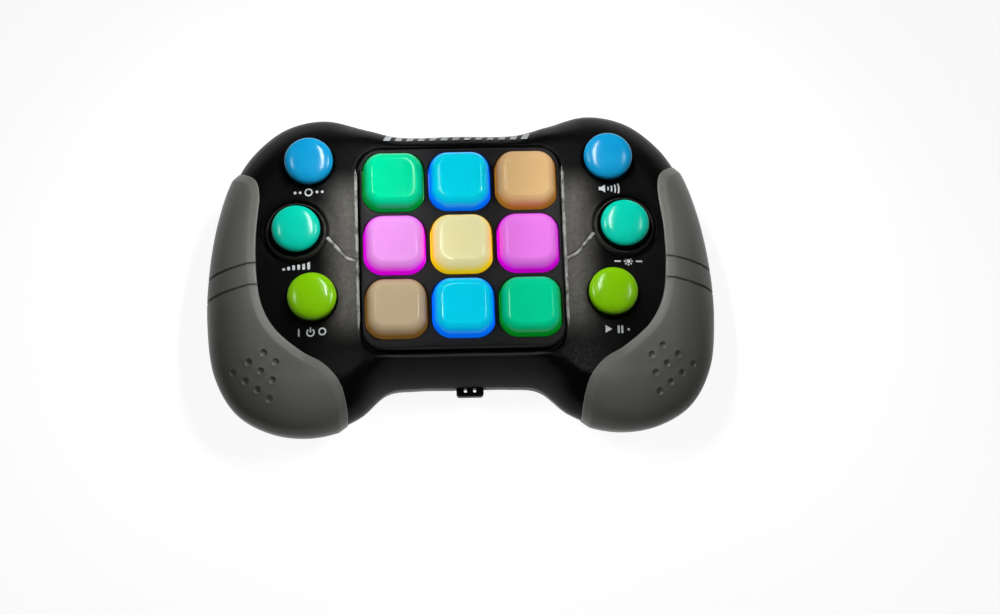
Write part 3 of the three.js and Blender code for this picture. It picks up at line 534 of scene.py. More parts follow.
def mixed(tree, share, first, second):
    node = tree.nodes.new("ShaderNodeMix")
    node.data_type = "RGBA"
    for socket, value in ((node.inputs[0], share), (node.inputs[6], first), (node.inputs[7], second)):
        if isinstance(value, bpy.types.NodeSocket):
            tree.links.new(value, socket)
        else:
            socket.default_value = value
    return node.outputs[2]


def calculated(tree, operation, first, second=None):
    node = tree.nodes.new("ShaderNodeMath")
    node.operation = operation
    for socket, value in zip(node.inputs, (first, second)):
        if isinstance(value, bpy.types.NodeSocket):
            tree.links.new(value, socket)
        elif value is not None:
            socket.default_value = value
    return node.outputs[0]


def near_to(tree, value, place, full, none):
    """1 where a length is within full of a place, falling to 0 at none."""
    away = calculated(tree, "ABSOLUTE", calculated(tree, "SUBTRACT", value, float(place * MM)))
    return ranged(tree, away, full * MM, none * MM, 1, 0, True)


def object_parts(tree):
    """The object's own coordinates, one socket for each axis."""
    place = tree.nodes.new("ShaderNodeTexCoord")
    parts = tree.nodes.new("ShaderNodeSeparateXYZ")
    tree.links.new(place.outputs["Object"], parts.inputs[0])
    return parts.outputs


def tint(material, mask, colour):
    """Lays a colour over the material's own where the mask is 1."""
    tree = material.node_tree
    socket = tree.nodes["Principled BSDF"].inputs["Base Color"]
    tree.links.new(mixed(tree, mask, socket.links[0].from_socket, linear(*colour)), socket)


def make_fine_grain():
    """The moulded or sprayed grain of a surface: a height for bump, at a given scale."""
    group, entry, leave = node_group("fine_grain", [("Scale", 1500.0)], [("Height", "NodeSocketFloat")])
    grain = noise(group, entry.outputs["Scale"], 4)
    group.links.new(grain, leave.inputs["Height"])
    return group


def make_soft_patches():
    """Broad patches between two colours and two roughnesses, as handling leaves them."""
    group, entry, leave = node_group(
        "soft_patches",
        [("Scale", 60.0), ("Clean", (0.5, 0.5, 0.5, 1)), ("Handled", (0.4, 0.4, 0.4, 1)),
         ("Clean Roughness", 0.4), ("Handled Roughness", 0.5)],
        [("Color", "NodeSocketColor"), ("Roughness", "NodeSocketFloat")])
    patches = noise(group, entry.outputs["Scale"], 5)
    share = ranged(group, patches, 0.35, 0.7, 0, 1, True)
    group.links.new(mixed(group, share, entry.outputs["Clean"], entry.outputs["Handled"]),
                    leave.inputs["Color"])
    rough = ranged(group, share, 0, 1, entry.outputs["Clean Roughness"],
                   entry.outputs["Handled Roughness"])
    group.links.new(rough, leave.inputs["Roughness"])
    return group


fine_grain = make_fine_grain()
soft_patches = make_soft_patches()


def placed_group(tree, group, **values):
    node = tree.nodes.new("ShaderNodeGroup")
    node.node_tree = group
    for label, value in values.items():
        node.inputs[label.replace("_", " ")].default_value = value
    return node


def new_material(name):
    made = bpy.data.materials.new(name)
    made.use_nodes = True
    return made, made.node_tree, made.node_tree.nodes["Principled BSDF"]


def add_grain(tree, shader, scale, height):
    grain = placed_group(tree, fine_grain, Scale=float(scale))
    bump = tree.nodes.new("ShaderNodeBump")
    bump.inputs["Strength"].default_value = 1.0
    bump.inputs["Distance"].default_value = height * MM
    tree.links.new(grain.outputs["Height"], bump.inputs["Height"])
    tree.links.new(bump.outputs["Normal"], shader.inputs["Normal"])


def finish(name, clean, handled, roughness, patch_scale=60, grain=(1500, 0.02), metallic=0.0,
           specular=0.5):
    """A surface with broad patches of handling and a fine grain."""
    made, tree, shader = new_material(name)
    patches = placed_group(tree, soft_patches, Scale=float(patch_scale), Clean=linear(*clean),
                           Handled=linear(*handled), Clean_Roughness=roughness[0],
                           Handled_Roughness=roughness[1])
    tree.links.new(patches.outputs["Color"], shader.inputs["Base Color"])
    tree.links.new(patches.outputs["Roughness"], shader.inputs["Roughness"])
    shader.inputs["Metallic"].default_value = metallic
    shader.inputs["Specular IOR Level"].default_value = specular
    add_grain(tree, shader, *grain)
    return made


case_look = ((7, 7, 7), (11, 11, 11), (0.29, 0.37), 60, (1900, 0.085), 0.0, 0.08)
case_plastic = finish("case_plastic", *case_look)
panel_plastic = finish("panel_plastic", (19, 20, 20), (24, 24, 24), (0.42, 0.55), 70, (1800, 0.02),
                       specular=0.25)
grip_rubber = finish("grip_rubber", (117, 117, 111), (124, 124, 118), (0.33, 0.45), 40, (1600, 0.02),
                     specular=0.4)
silver_paint = finish("silver_paint", (188, 188, 182), (84, 84, 80), (0.38, 0.55), 420, (1400, 0.012))
print_paint = finish("print_paint", (226, 231, 234), (198, 205, 210), (0.55, 0.7), 900, (2500, 0.01))
screw_steel = finish("screw_steel", (170, 172, 175), (140, 142, 146), (0.28, 0.42), 300, (3000, 0.006), 1.0)
spring_steel = finish("spring_steel", (205, 206, 208), (180, 181, 184), (0.2, 0.32), 300, (3000, 0.004), 1.0)
board_green = finish("board_green", (28, 104, 58), (22, 84, 48), (0.35, 0.5), 350, (2500, 0.01))
mat_rubber = finish("mat_rubber", (226, 226, 220), (212, 212, 205), (0.55, 0.7), 200, (1500, 0.01))
chip_epoxy = finish("chip_epoxy", (26, 26, 28), (34, 34, 36), (0.4, 0.55), 400, (3000, 0.01))
led_lens = finish("led_lens", (244, 240, 218), (232, 228, 204), (0.2, 0.3), 500, (1500, 0.004))
cell_wrap = finish("cell_wrap", (44, 108, 78), (38, 96, 70), (0.3, 0.42), 120, (800, 0.006))
speaker_black = finish("speaker_black", (30, 30, 32), (40, 40, 42), (0.5, 0.65), 300, (2500, 0.02))
lead_skin = finish("lead_skin", (156, 30, 30), (140, 24, 24), (0.45, 0.55), 300, (1500, 0.01))


# Pieces of the case

hole_lip = 0.45
lip_reach = 0.7
lip_drop = 2.8
lip_under = 2.4
frame_wall = 1.5
frame_drop = 1.8
guide_wall = 1.3
guide_depth = 5.0
collar_width = 1.2
collar_rise = 1.1
collar_power = 2.5
collar_inner_drop = 0.35
collar_groove = 0.5
collar_groove_depth = 0.6
collar_lip = 0.28
collar_lip_width = 1.2
branch_width = 1.2
branch_depth = 0.5
branch_knee = 0.9
branch_inner_edge = 0.02
branch_outer_edge = 0.12
seam_depth = 0.18
seam_half = 0.12
case_top_spacing = 1.5
case_bottom_spacing = 1.9

# How far out from an edge its net has lines; the other lists of steps say the same of theirs
pocket_steps = [-lip_reach, -0.66, -0.55, -0.35, 0, 0.35, lip_reach, frame_wall]
collar_steps = [0, 0.03, 0.12, 0.3, 0.6, 0.9, 1.08, 1.17, 1.2, 1.33, 1.45, 1.57, 1.7, 1.95, 2.3, 2.6, 2.9]
branch_steps = [-0.72, -0.6, 0.6, 0.72]

button_names = [f"{row}_{side}_button" for row in ("upper", "middle", "lower")
                for side in ("left", "right")]


def button_places():
    places = []
    for name in button_names:
        low, high = span(name)
        places.append((name, (low[0] + high[0]) / 2, (low[1] + high[1]) / 2, high[2]))
    return places


buttons = button_places()
button_flange_reach = 1.1
button_low, button_high = span(button_names[0])
button_radius = (button_high[0] - button_low[0]) / 2 - button_flange_reach
hole_radius = button_radius + slide_gap
guide_foot = crown_level - guide_depth


def pocket_loop(growth):
    return rounded_loop(0, panel_shift, panel_half_width + channel_width + growth,
                        panel_half_depth + channel_width + growth,
                        panel_corner + channel_width + growth)


def branch_line(side):
    corners = [side_place(shares) * (side, 1) for shares in branch_shares]
    first, last = (corners[1] + (end - corners[1]) / np.linalg.norm(end - corners[1]) * branch_knee
                   for end in (corners[0], corners[2]))
    bend = [(1 - t) ** 2 * first + 2 * t * (1 - t) * corners[1] + t * t * last
            for t in np.linspace(0, 1, branch_bend_steps + 1)]
    return divided(np.array([corners[0], *bend, corners[2]]), branch_spacing, False)


branches = [branch_line(1), branch_line(-1)]
pocket = pocket_loop(0)


def case_top_height(points):
    surface = top_height(points)
    pocket_away = signed_distance(points, pocket)
    share = 1 - np.clip((pocket_away + lip_reach) / (2 * lip_reach), 0, 1)
    surface -= (surface - panel_foot - lip_drop) * (1 - np.sqrt(np.maximum(1 - share ** 2, 0)))
    for name, x, y, _ in buttons:
        away = np.hypot(points[:, 0] - x, points[:, 1] - y) - hole_radius
        if name.startswith("middle"):
            ring = np.clip(away / collar_width, 0, 1) * 2 - 1
            bump = collar_rise * np.sqrt(np.maximum(1 - np.abs(ring) ** collar_power, 0))
            across = np.clip(np.abs(away - collar_width - collar_groove / 2) / collar_groove, 0, 1)
            groove = collar_groove_depth * np.cos(across * math.pi / 2)
            outer = np.clip((away - collar_width - collar_groove) / collar_lip_width, 0, 1)
            lip = collar_lip * np.sin(outer * math.pi) ** 2
            surface += np.where(away < collar_width, bump - collar_inner_drop * (ring < 0), 0) - groove + lip
        else:
            surface -= lip_fall(away, hole_lip)
    for branch in branches:
        away, _ = distance_to(points, branch, False)
        surface -= branch_depth * (1 - smooth(branch_width / 2 - branch_inner_edge,
                                              branch_width / 2 + branch_outer_edge, away))
    return surface


# Painted sheen, mixed with dust, on the case top beside the panel, and painted highlight lines round the
# middle buttons' collars and along the pocket's front edge: a lighter colour laid over the plastic's own
dust_and_sheen_colour = (118, 116, 110)
sheen_reach = 12.0
sheen_middle = 2.0
sheen_half_length = (16.0, 28.0)
highlight_line_share = 0.45
band_speckle = 700.0
band_speckle_low = 0.74
collar_ring_half = (0.1, 0.45)
front_lip_half = (0.15, 0.45)
collar_ring_share = 0.85
collar_ring = hole_radius + collar_ring_share * collar_width
front_lip_gap = 0.3
front_lip = panel_shift - panel_half_depth - channel_width - front_lip_gap
front_lip_half_length = (20.0, 27.0)


def make_dust_and_sheen_mask():
    """Painted sheen, mixed with dust, beside the panel, and painted highlight lines round the middle
    buttons' collars and along the pocket's front.
    """
    group, entry, leave = node_group("dust_and_sheen_mask", [("Scale", band_speckle)],
                                     [("Mask", "NodeSocketFloat")])
    across, along, _ = object_parts(group)
    aside = calculated(group, "ABSOLUTE", across)
    band = calculated(group, "MULTIPLY",
                      near_to(group, aside, panel_half_width + channel_width, 0, sheen_reach),
                      near_to(group, along, sheen_middle, *sheen_half_length))
    speckle = ranged(group, noise(group, entry.outputs["Scale"], 6), 0.35, 0.65, band_speckle_low, 1)
    band = calculated(group, "MULTIPLY", band, speckle)
    spot = group.nodes.new("ShaderNodeCombineXYZ")
    group.links.new(aside, spot.inputs[0])
    group.links.new(along, spot.inputs[1])
    away = group.nodes.new("ShaderNodeVectorMath")
    away.operation = "DISTANCE"
    group.links.new(spot.outputs[0], away.inputs[0])
    x, y = next((x, y) for name, x, y, _ in buttons if name == "middle_right_button")
    away.inputs[1].default_value = (float(x * MM), float(y * MM), 0)
    ring = near_to(group, away.outputs["Value"], collar_ring, *collar_ring_half)
    lip = calculated(group, "MULTIPLY", near_to(group, along, front_lip, *front_lip_half),
                     near_to(group, aside, 0, *front_lip_half_length))
    # The collar rings and the pocket's front lip get painted highlight lines, weaker than the band
    edges = calculated(group, "MULTIPLY", calculated(group, "MAXIMUM", ring, lip), highlight_line_share)
    group.links.new(calculated(group, "MAXIMUM", band, edges), leave.inputs["Mask"])
    return group


case_top_plastic = finish("case_top_plastic", *case_look)
# Lays the painted sheen and highlight lines, with the dust, over the case top's colour
dust_and_sheen = placed_group(case_top_plastic.node_tree, make_dust_and_sheen_mask(), Scale=band_speckle)
tint(case_top_plastic, dust_and_sheen.outputs["Mask"], dust_and_sheen_colour)


def case_net(lines, spacing):
    """A net for one half of the case: its triangles' middles, its edge and how far the seam cuts in."""
    rings = closed(outline - outline_out * depth for depth in ring_depths)
    free_rings = [outline[::2] - outline_out[::2] * depth for depth in free_ring_depths]
    crown = outline - outline_out * (free_ring_depths[-1] + spacing / 2)
    free = np.vstack([*free_rings, hex_points(crown, spacing)])
    points, triangles, centres = flat_net(rings + lines, free, spacing)
    on_outline = rim_place(points)[0] < on_edge
    _, nearest = distance_to(points[on_outline], outline)
    shift = np.zeros_like(points)
    shift[on_outline] = -outline_out[nearest] * seam_depth
    return points, triangles, centres, on_outline, shift


def make_case_top():
    lines = closed(pocket_loop(growth) for growth in pocket_steps)
    for name, x, y, _ in buttons:
        growths = [share * hole_lip for share in lip_step_shares] + [guide_wall]
        if name.startswith("middle"):
            growths = collar_steps
        lines += closed(circle_loop(x, y, hole_radius + growth) for growth in growths)
    for branch in branches:
        lines += [(branch + outward(branch, False) * growth, False) for growth in branch_steps]
    points, triangles, centres, on_outline, shift = case_net(lines, case_top_spacing)
    places = [(x, y) for _, x, y, _ in buttons]
    hole = close_to(centres, places, hole_radius * math.cos(math.pi / hole_sides))
    guide = close_to(centres, places, hole_radius + guide_wall)
    lip = inside(centres, pocket)
    border = inside(centres, pocket_loop(frame_wall)) & ~lip
    kept = inside(centres, outline) & ~inside(centres, pocket_loop(-lip_reach)) & ~hole
    high = case_top_height(points)
    high[on_outline] = parting + seam_half
    shell = np.maximum(parting, np.minimum(high, top_height(points)) - case_wall)
    shell[on_outline] = parting
    skin = Skin()
    skin.terrace(points, triangles, [
        (kept & ~border & ~lip & ~guide, shell, high), (kept & border, panel_foot - frame_drop, high),
        (kept & lip, panel_foot + lip_under, high), (kept & guide, guide_foot, high)], low_shift=shift)
    made = skin.piece("case_top_shell", case_top_plastic, "case", "case_black", sharp=50)
    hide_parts("top_case")


make_case_top()


# Bottom of the case, as seen from below and through the battery opening

bay_shift = 4.5
bay_half_width = 17.15
bay_half_depth = 25.65
bay_ceiling = 13.45
bay_wall = 1.4
door_half_width = 18.65
door_half_depth = 32.05
door_seam = 0.25
door_seam_corner = 1.2
door_recess = 2.275
door_pad_wall = 1.5
door_pad_height = 4.4
door_lip = 0.3
door_screw_reach = 28.85
door_screw_bore = 1.4
door_screw_depth = 7.45
case_screw_shares = [(0.509, -0.554), (0.665, 0.41), (-0.099, 0.728)]
well_radius = 2.8
well_shelf = 8.5
well_roof = 10.7
speaker_share = (0.239, 0.205)
grille_radius = 6.0
grille_hole = 1.2
anchor_shift = 1.95
anchor_half = 4.6
anchor_root = 34.93
anchor_notch = 1.4
anchor_notch_top = 10.1
hole_edge = 0.35
hole_edge_steps = [0, 0.08, 0.2, hole_edge]
door_recess_steps = [0, 0.06, 0.15, door_lip]
box_spacing = 1.6
slot_spacing = 0.7
bore_sides = 32
well_sides = 40
grille_sides = 28
door_screw_places = [(0, bay_shift + end * door_screw_reach) for end in (-1, 1)]


def box_loop(x, y, half_width, half_depth, spacing=box_spacing):
    corners = [(half_width, half_depth), (-half_width, half_depth), (-half_width, -half_depth),
               (half_width, -half_depth)]
    return divided(np.array([(x + dx, y + dy) for dx, dy in corners]), spacing, True)


def case_screw_places():
    return [side_place(shares) * (side, 1) for side, _ in sides for shares in case_screw_shares]


def grille_places():
    x, y = side_place(speaker_share)
    turns = [k * math.pi / 3 for k in range(6)]
    return [(x, y)] + [(x + grille_radius * math.cos(t), y + grille_radius * math.sin(t)) for t in turns]


def recess_loop(growth):
    return rounded_loop(0, bay_shift, door_half_width + door_seam + growth,
                        door_half_depth + door_seam + growth, door_seam_corner + growth)


def make_case_bottom():
    wells, grille = case_screw_places(), grille_places()
    bay_box = (0, bay_shift, bay_half_width, bay_half_depth)
    pad_box = (0, bay_shift, door_half_width + door_pad_wall, door_half_depth + door_pad_wall)
    slot_box = (anchor_shift, -anchor_root, anchor_half, anchor_notch)
    lines = closed([box_loop(*bay_box), *[recess_loop(growth) for growth in door_recess_steps],
                    box_loop(*pad_box), box_loop(*slot_box, slot_spacing),
                    *[circle_loop(*place, door_screw_bore, bore_sides) for place in door_screw_places]])
    for growth in hole_edge_steps:
        lines += closed(circle_loop(*place, well_radius + growth, well_sides) for place in wells)
        lines += closed(circle_loop(*place, grille_hole + growth, grille_sides) for place in grille)
    points, triangles, centres, on_outline, shift = case_net(lines, case_bottom_spacing)
    recess = recess_loop(0)
    low = bottom_height(points) + lip_fall(signed_distance(points, recess), door_lip)
    for places, radius in ((wells, well_radius), (grille, grille_hole)):
        for place in places:
            low += lip_fall(np.hypot(*(points - place).T) - radius, hole_edge)
    low[on_outline] = parting - seam_half
    shell = np.minimum(parting, bottom_height(points) + case_wall)
    shell[on_outline] = parting

    hole = close_to(centres, grille, grille_hole * math.cos(math.pi / grille_sides))
    kept = inside(centres, outline) & ~hole
    well = close_to(centres, wells, well_radius)
    bore = close_to(centres, door_screw_places, door_screw_bore)
    bay = in_box(centres, *bay_box)
    door = inside(centres, recess) & ~bay & ~bore
    pad = in_box(centres, *pad_box) & ~inside(centres, recess)
    slot = in_box(centres, *slot_box)
    rest = kept & ~well & ~bore & ~bay & ~door & ~pad & ~slot
    skin = Skin()
    skin.terrace(points, triangles, [
        (rest, low, shell), (kept & well, well_shelf, well_roof),
        (kept & bore, door_screw_depth, door_screw_depth + case_wall),
        (kept & bay, bay_ceiling, bay_ceiling + bay_wall), (kept & door, door_recess, door_pad_height),
        (kept & pad & ~well, low, door_pad_height), (kept & slot, anchor_notch_top, parting),
    ], high_shift=shift)
    made = skin.piece("case_bottom_shell", case_plastic, "case", "case_black", sharp=50)
    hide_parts("bottom_case")


make_case_bottom()


# Grips: soft covers that wrap the side of both halves of the case

grip_seam_rise = 0.3
grip_band = 2.7
grip_foot = 3.0
groove_half = 0.4
groove_depth = 0.6
groove_inner_edge = 0.22
groove_outer_edge = 0.1
dimple_radius = 1.05
dimple_depth = 0.7
dimple_lip = 0.07
dimple_lip_radius = 1.2
dimple_lip_half = 0.15
grip_lip = 0.4
grip_lip_share = 0.9
grip_end_reach = 9.0
grip_under_reach = 3.36
grip_margin = 4.0
grip_seam_margin = 3.0
grip_mid_step = 20
grip_least = 0.02
rim_reach = 1e-3
grip_spacing = 1.1
grip_line_spacing = 0.6
grip_rim_depths = [0, 0.01, 0.04, 0.09, 0.17, 0.28, 0.42, 0.6, 0.85]
grip_ring_depths = [-grip_lift, 0.3, 0.7, 1.2, 1.79, 2.5, grip_under_reach]
grip_free_depths = [4.2, 5.2, 6.3, 7.5, 8.7]
grip_free_reach = 3.5
grip_seam_steps = [0, 0.05, 0.14, 0.26, 0.4, 0.9, 1.5, 2.0, 2.25, 2.5, 2.8]
groove_steps = [-0.5, -0.4, -0.3, -0.15, 0.15, 0.3, 0.4, 0.5]
dimple_steps = [0.3, 0.6, 0.82, 0.97, 1.05, 1.15, 1.35]
dimple_sides = 28


def dimple_places():
    start = side_place(dimple_start_share)
    return [(start[0] - step * dimple_along / dimple_slope_share + row * dimple_across,
             start[1] - step * dimple_along - row * dimple_across * dimple_drop_share)
            for row, steps in enumerate(dimple_rows) for step in steps]


def grip_area(line):
    """A loop round all that lies outwards of a grip's inner edge."""
    return np.vstack([line, [(line[-1][0], -far_reach), (far_reach, -far_reach), (far_reach, line[0][1])]])


def grip_net(line, area, loop, loop_out, grooves):
    beside = loop[:, 0] > panel_half_width - grip_margin
    right, right_out = loop[beside], loop_out[beside]
    depths = [depth - grip_proud for depth in grip_rim_depths] + grip_ring_depths
    lines = [(right - right_out * depth, False) for depth in depths]
    line_out = outward(line, False)
    away_from_case = inside([line[grip_mid_step] - line_out[grip_mid_step]], area)[0]
    inward = -line_out if away_from_case else line_out
    near = line[:, 1] > -case_half_depth - grip_seam_margin
    lines += [((line + inward * growth)[near], False) for growth in grip_seam_steps]
    lines.append((np.array([(panel_half_width, line[0][1]), (far_reach, line[0][1])]), False))
    for groove in grooves:
        lines += [(groove + outward(groove, False) * growth, False) for growth in groove_steps]
    for radius in dimple_steps:
        lines += closed(circle_loop(*place, radius, dimple_sides) for place in dimple_places())
    field = np.array([(panel_half_width, -case_half_depth), (far_reach, -case_half_depth),
                      (far_reach, case_half_depth), (panel_half_width, case_half_depth)])
    free = np.vstack([(right - right_out * depth)[::2] for depth in grip_free_depths]
                     + [hex_points(field, grip_spacing)])
    free = free[(signed_distance(free, loop) < -grip_free_reach) & inside(free, area)]
    return flat_net(lines, free, grip_spacing)


def grip_rise(points, line, area, grooves):
    """How far the grip stands out of the case: less at its seams and in its grooves."""
    from_seam, _ = distance_to(points, line, False)
    from_seam = np.where(inside(points, area), from_seam, 0)
    from_seam = np.minimum(from_seam, np.where(points[:, 0] > line[0][0] - grip_end_reach,
                                               np.maximum(line[0][1] - points[:, 1], 0), far_reach))
    rise = grip_seam_rise + (grip_proud - grip_seam_rise) * np.clip(from_seam / grip_band, 0, 1)
    rise = rise - lip_fall(from_seam, grip_lip) * grip_lip_share
    for groove in grooves:
        away, _ = distance_to(points, groove, False)
        rise -= groove_depth * (1 - smooth(groove_half - groove_inner_edge, groove_half + groove_outer_edge,
                                           away))
    return np.maximum(rise, grip_lift + grip_least)


def make_grips():
    line = curve_through([side_place(shares) for shares in grip_line_shares], False, grip_line_spacing)
    area = grip_area(line)
    loop = case_outline(grip_line_spacing)
    loop_out = outward(loop, True)
    grooves = [divided(np.array([side_place(share) for share in pair]), grip_line_spacing, False)
               for pair in groove_shares]
    points, triangles, centres = grip_net(line, area, loop, loop_out, grooves)
    kept = inside(centres, area) & inside(centres, loop + loop_out * grip_proud)
    rise = grip_rise(points, line, area, grooves)

    beyond, nearest = distance_to(points, loop)
    depth = np.where(inside(points, loop), beyond, -beyond)
    way = loop_out[nearest] + loop_out[(nearest + 1) % len(loop)]
    way /= np.linalg.norm(way, axis=1)[:, None]
    spare = np.where(depth < 0, -depth * (1 - rise / grip_proud), 0)
    placed = points - way * spare[:, None]
    top = top_height(placed, rise)
    bottom = bottom_height(placed, rise)
    at_edge = depth < -grip_proud + rim_reach
    top[at_edge] = parting
    bottom[at_edge] = parting
    for x, y in dimple_places():
        away = np.hypot(points[:, 0] - x, points[:, 1] - y)
        dish = dimple_depth * np.sqrt(np.maximum(1 - (away / dimple_radius) ** 2, 0))
        top += dimple_lip * np.clip(1 - np.abs(away - dimple_lip_radius) / dimple_lip_half, 0, 1) - dish
    outside = depth < -grip_lift / 2
    inner_top = np.minimum(np.where(outside, parting, top_height(placed, grip_lift)), top)
    foot = np.maximum(bottom, grip_foot)
    inner_bottom = np.maximum(np.where(outside, parting, bottom_height(placed, grip_lift)), foot)
    away = signed_distance(centres, loop)
    outer = away > grip_lift
    under = kept & (away > -grip_under_reach)
    for side, hand in sides:
        skin = Skin()
        skin.terrace(placed, triangles, [(kept & outer, parting, top, False, True),
                                         (kept & ~outer, inner_top, top)])
        skin.terrace(placed, triangles, [(kept & outer, foot, parting, True, False),
                                         (under & ~outer, foot, inner_bottom)])
        made = skin.piece(f"{hand}_grip_cover", grip_rubber, "case", "grip_grey", sharp=35,
                          mirror=side < 0)
        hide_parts(f"{hand}_grip")


make_grips()


# Panel between the bubbles

bubble_names = [f"{row}_{place}" for row in ("rear", "middle", "front")
                for place in ("left", "centre", "right")]
bubble_flange = 9.47
hole_half = 9.17
hole_corner = 5.65
plate_under = 23.0
panel_edge = 0.55
panel_hole_edge = 0.35
panel_edge_steps = [0, -0.02, -0.08, -0.18, -0.33, -panel_edge, skirt_spread]
panel_hole_steps = [0, 0.01, 0.05, 0.12, 0.22, panel_hole_edge]
window_corner = 5.6
panel_loop_spacing = 0.8
hole_loop_spacing = 0.7
panel_free_inset = 0.9
panel_free_spacing = 1.8
panel_net_spacing = 1.2


def bubble_place(name):
    low, high = span(f"{name}_bubble")
    return (low[0] + high[0]) / 2, (low[1] + high[1]) / 2


def panel_loop(growth):
    return rounded_loop(0, panel_shift, panel_half_width + growth, panel_half_depth + growth,
                        panel_corner + growth, panel_loop_spacing)


def hole_loop(x, y, growth):
    return rounded_loop(x, y, hole_half + growth, hole_half + growth, hole_corner + growth,
                        hole_loop_spacing)


def make_panel():
    centre = bubble_place("middle_centre")
    reach = bubble_place("middle_right")[0] + bubble_flange + seat_gap
    window_loop = rounded_loop(*centre, reach, reach, window_corner)
    holes = [bubble_place(name) for name in bubble_names]
    lines = closed([*[panel_loop(growth) for growth in panel_edge_steps], window_loop,
                    *[hole_loop(*place, growth) for growth in panel_hole_steps for place in holes]])
    points, triangles, centres = flat_net(
        lines, hex_points(panel_loop(-panel_free_inset), panel_free_spacing), panel_net_spacing)
    kept = inside(centres, panel_loop(skirt_spread))
    top = panel_top - lip_fall(-signed_distance(points, panel_loop(0)), panel_edge)
    for x, y in holes:
        hole = hole_loop(x, y, 0)
        close = in_box(points, x, y, hole_half + 1, hole_half + 1)
        top[close] -= lip_fall(signed_distance(points[close], hole), panel_hole_edge)
        kept &= ~inside(centres, hole)
    plate = inside(centres, panel_loop(0))
    window = inside(centres, window_loop)
    skin = Skin()
    skin.terrace(points, triangles, [
        (kept & ~plate, panel_foot, plate_under), (kept & plate & ~window, panel_foot, top),
        (kept & plate & window, plate_under, top)])
    made = skin.piece("bubble_panel", panel_plastic, "case", "panel_black", sharp=45)
    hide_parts("keypad_panel")


make_panel()


# Bubbles

bubble_half = 8.82
bubble_corner = 5.3
bubble_top_half = 6.2
bubble_top_corner = 3.0
bubble_rise = 4.2
bubble_foot = 21.5
bubble_flange_top = 22.7
bubble_wall = 2.0
bubble_dish = 0.12
top_glow = 0.28
foot_glow = 0.72
fade_low = 1.0
fade_high = 4.4
bubble_wall_low = -0.5
bubble_corner_steps = 12
bubble_roughness = (0.06, 0.1)
bubble_patches = 90.0
bubble_handling = 6
bubble_grain = (400, 0.0015)
bubble_specular = 0.2
bubble_side_shares = [(0, 0), (0.02, 0.16), (0.07, 0.33), (0.16, 0.5), (0.3, 0.66), (0.47, 0.79),
                      (0.66, 0.89), (0.84, 0.948), (0.88, 0.9602), (0.92, 0.9713), (0.96, 0.9814),
                      (1.0, 0.9904), (1.03, 0.9963), (1.05, 0.9989), (1.07, 1.0)]
bubble_dish_shares = [0.86, 0.7, 0.5, 0.3, 0.12]


def square_ring(half, corner, level, steps=bubble_corner_steps):
    return [(x, y, level) for x, y in corner_arcs(0, 0, half, half, corner, steps)]


def share_of(colour, share):
    return tuple(value * share for value in linear(*colour)[:3]) + (1.0,)


def bubble_finish(name, top, base):
    """Lit soft plastic: light on the flat top, deeper towards the foot of the sides."""
    made, tree, shader = new_material(name)
    handled = [min(255, value + bubble_handling) for value in top]
    patches = placed_group(tree, soft_patches, Scale=bubble_patches, Clean=linear(*top),
                           Handled=linear(*handled), Clean_Roughness=bubble_roughness[0],
                           Handled_Roughness=bubble_roughness[1])
    fade = ranged(tree, object_parts(tree)["Z"], fade_low * MM, fade_high * MM, 1, 0, True)
    colour = mixed(tree, fade, patches.outputs["Color"], linear(*base))
    glow = mixed(tree, fade, share_of(top, top_glow), share_of(base, foot_glow))
    tree.links.new(colour, shader.inputs["Base Color"])
    tree.links.new(patches.outputs["Roughness"], shader.inputs["Roughness"])
    tree.links.new(glow, shader.inputs["Emission Color"])
    shader.inputs["Emission Strength"].default_value = 1
    shader.inputs["Specular IOR Level"].default_value = bubble_specular
    add_grain(tree, shader, *bubble_grain)
    return made


bubble_colours = {
    "rear_left": ("bubble_green", (0, 216, 156), (0, 138, 50)),
    "rear_centre": ("bubble_cyan", (0, 222, 244), (0, 104, 244)),
    "rear_right": ("bubble_tan", (216, 178, 124), (150, 100, 34)),
    "middle_left": ("bubble_violet", (230, 150, 232), (220, 0, 224)),
    "middle_centre": ("bubble_yellow", (240, 234, 176), (236, 196, 20)),
    "middle_right": ("bubble_magenta", (232, 124, 232), (206, 0, 212)),
    "front_left": ("bubble_beige", (186, 166, 134), (112, 80, 34)),
    "front_centre": ("bubble_aqua", (0, 214, 244), (0, 108, 250)),
    "front_right": ("bubble_mint", (0, 206, 148), (0, 126, 30)),
}


def bubble_rings():
    """Square rings from the hollow's ceiling down, out round the flange and up to the dished top."""
    hollow, hollow_corner = bubble_half - bubble_wall, bubble_corner - bubble_wall
    foot, flange_top = bubble_foot - panel_top, bubble_flange_top - panel_top
    rings = [(bubble_top_half - bubble_wall, bubble_top_corner - bubble_wall / 2, bubble_rise - bubble_wall),
             (hollow, hollow_corner, 0), (hollow, hollow_corner, foot),
             (bubble_flange, bubble_corner, foot), (bubble_flange, bubble_corner, flange_top),
             (bubble_half, bubble_corner, flange_top), (bubble_half, bubble_corner, bubble_wall_low)]
    rings += [(bubble_half + (bubble_top_half - bubble_half) * inward,
               bubble_corner + (bubble_top_corner - bubble_corner) * inward, rise * bubble_rise)
              for inward, rise in bubble_side_shares]
    rings += [(bubble_top_half * share, bubble_top_corner * share,
               bubble_rise - bubble_dish * (1 - share ** 2)) for share in bubble_dish_shares]
    return [square_ring(*ring) for ring in rings]


def make_bubbles():
    for name, (slot, top, base) in bubble_colours.items():
        skin = Skin()
        skin.loft(bubble_rings())
        made = skin.piece(f"{name}_soft_bubble", bubble_finish(slot, top, base), f"{name}_bubble", slot,
                          sharp=50)
        made.location = Vector((*bubble_place(name), panel_top)) * MM
        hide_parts(f"{name}_bubble")


make_bubbles()


# Round buttons

button_crown = 2.4
button_stem = 3.0
button_flange = 1.2
button_curve = 2.4
button_steps = 24
button_peak_radius = 0.02
button_look = ((0.16, 0.21), 120, (500, 0.002), 0.0, 0.34)
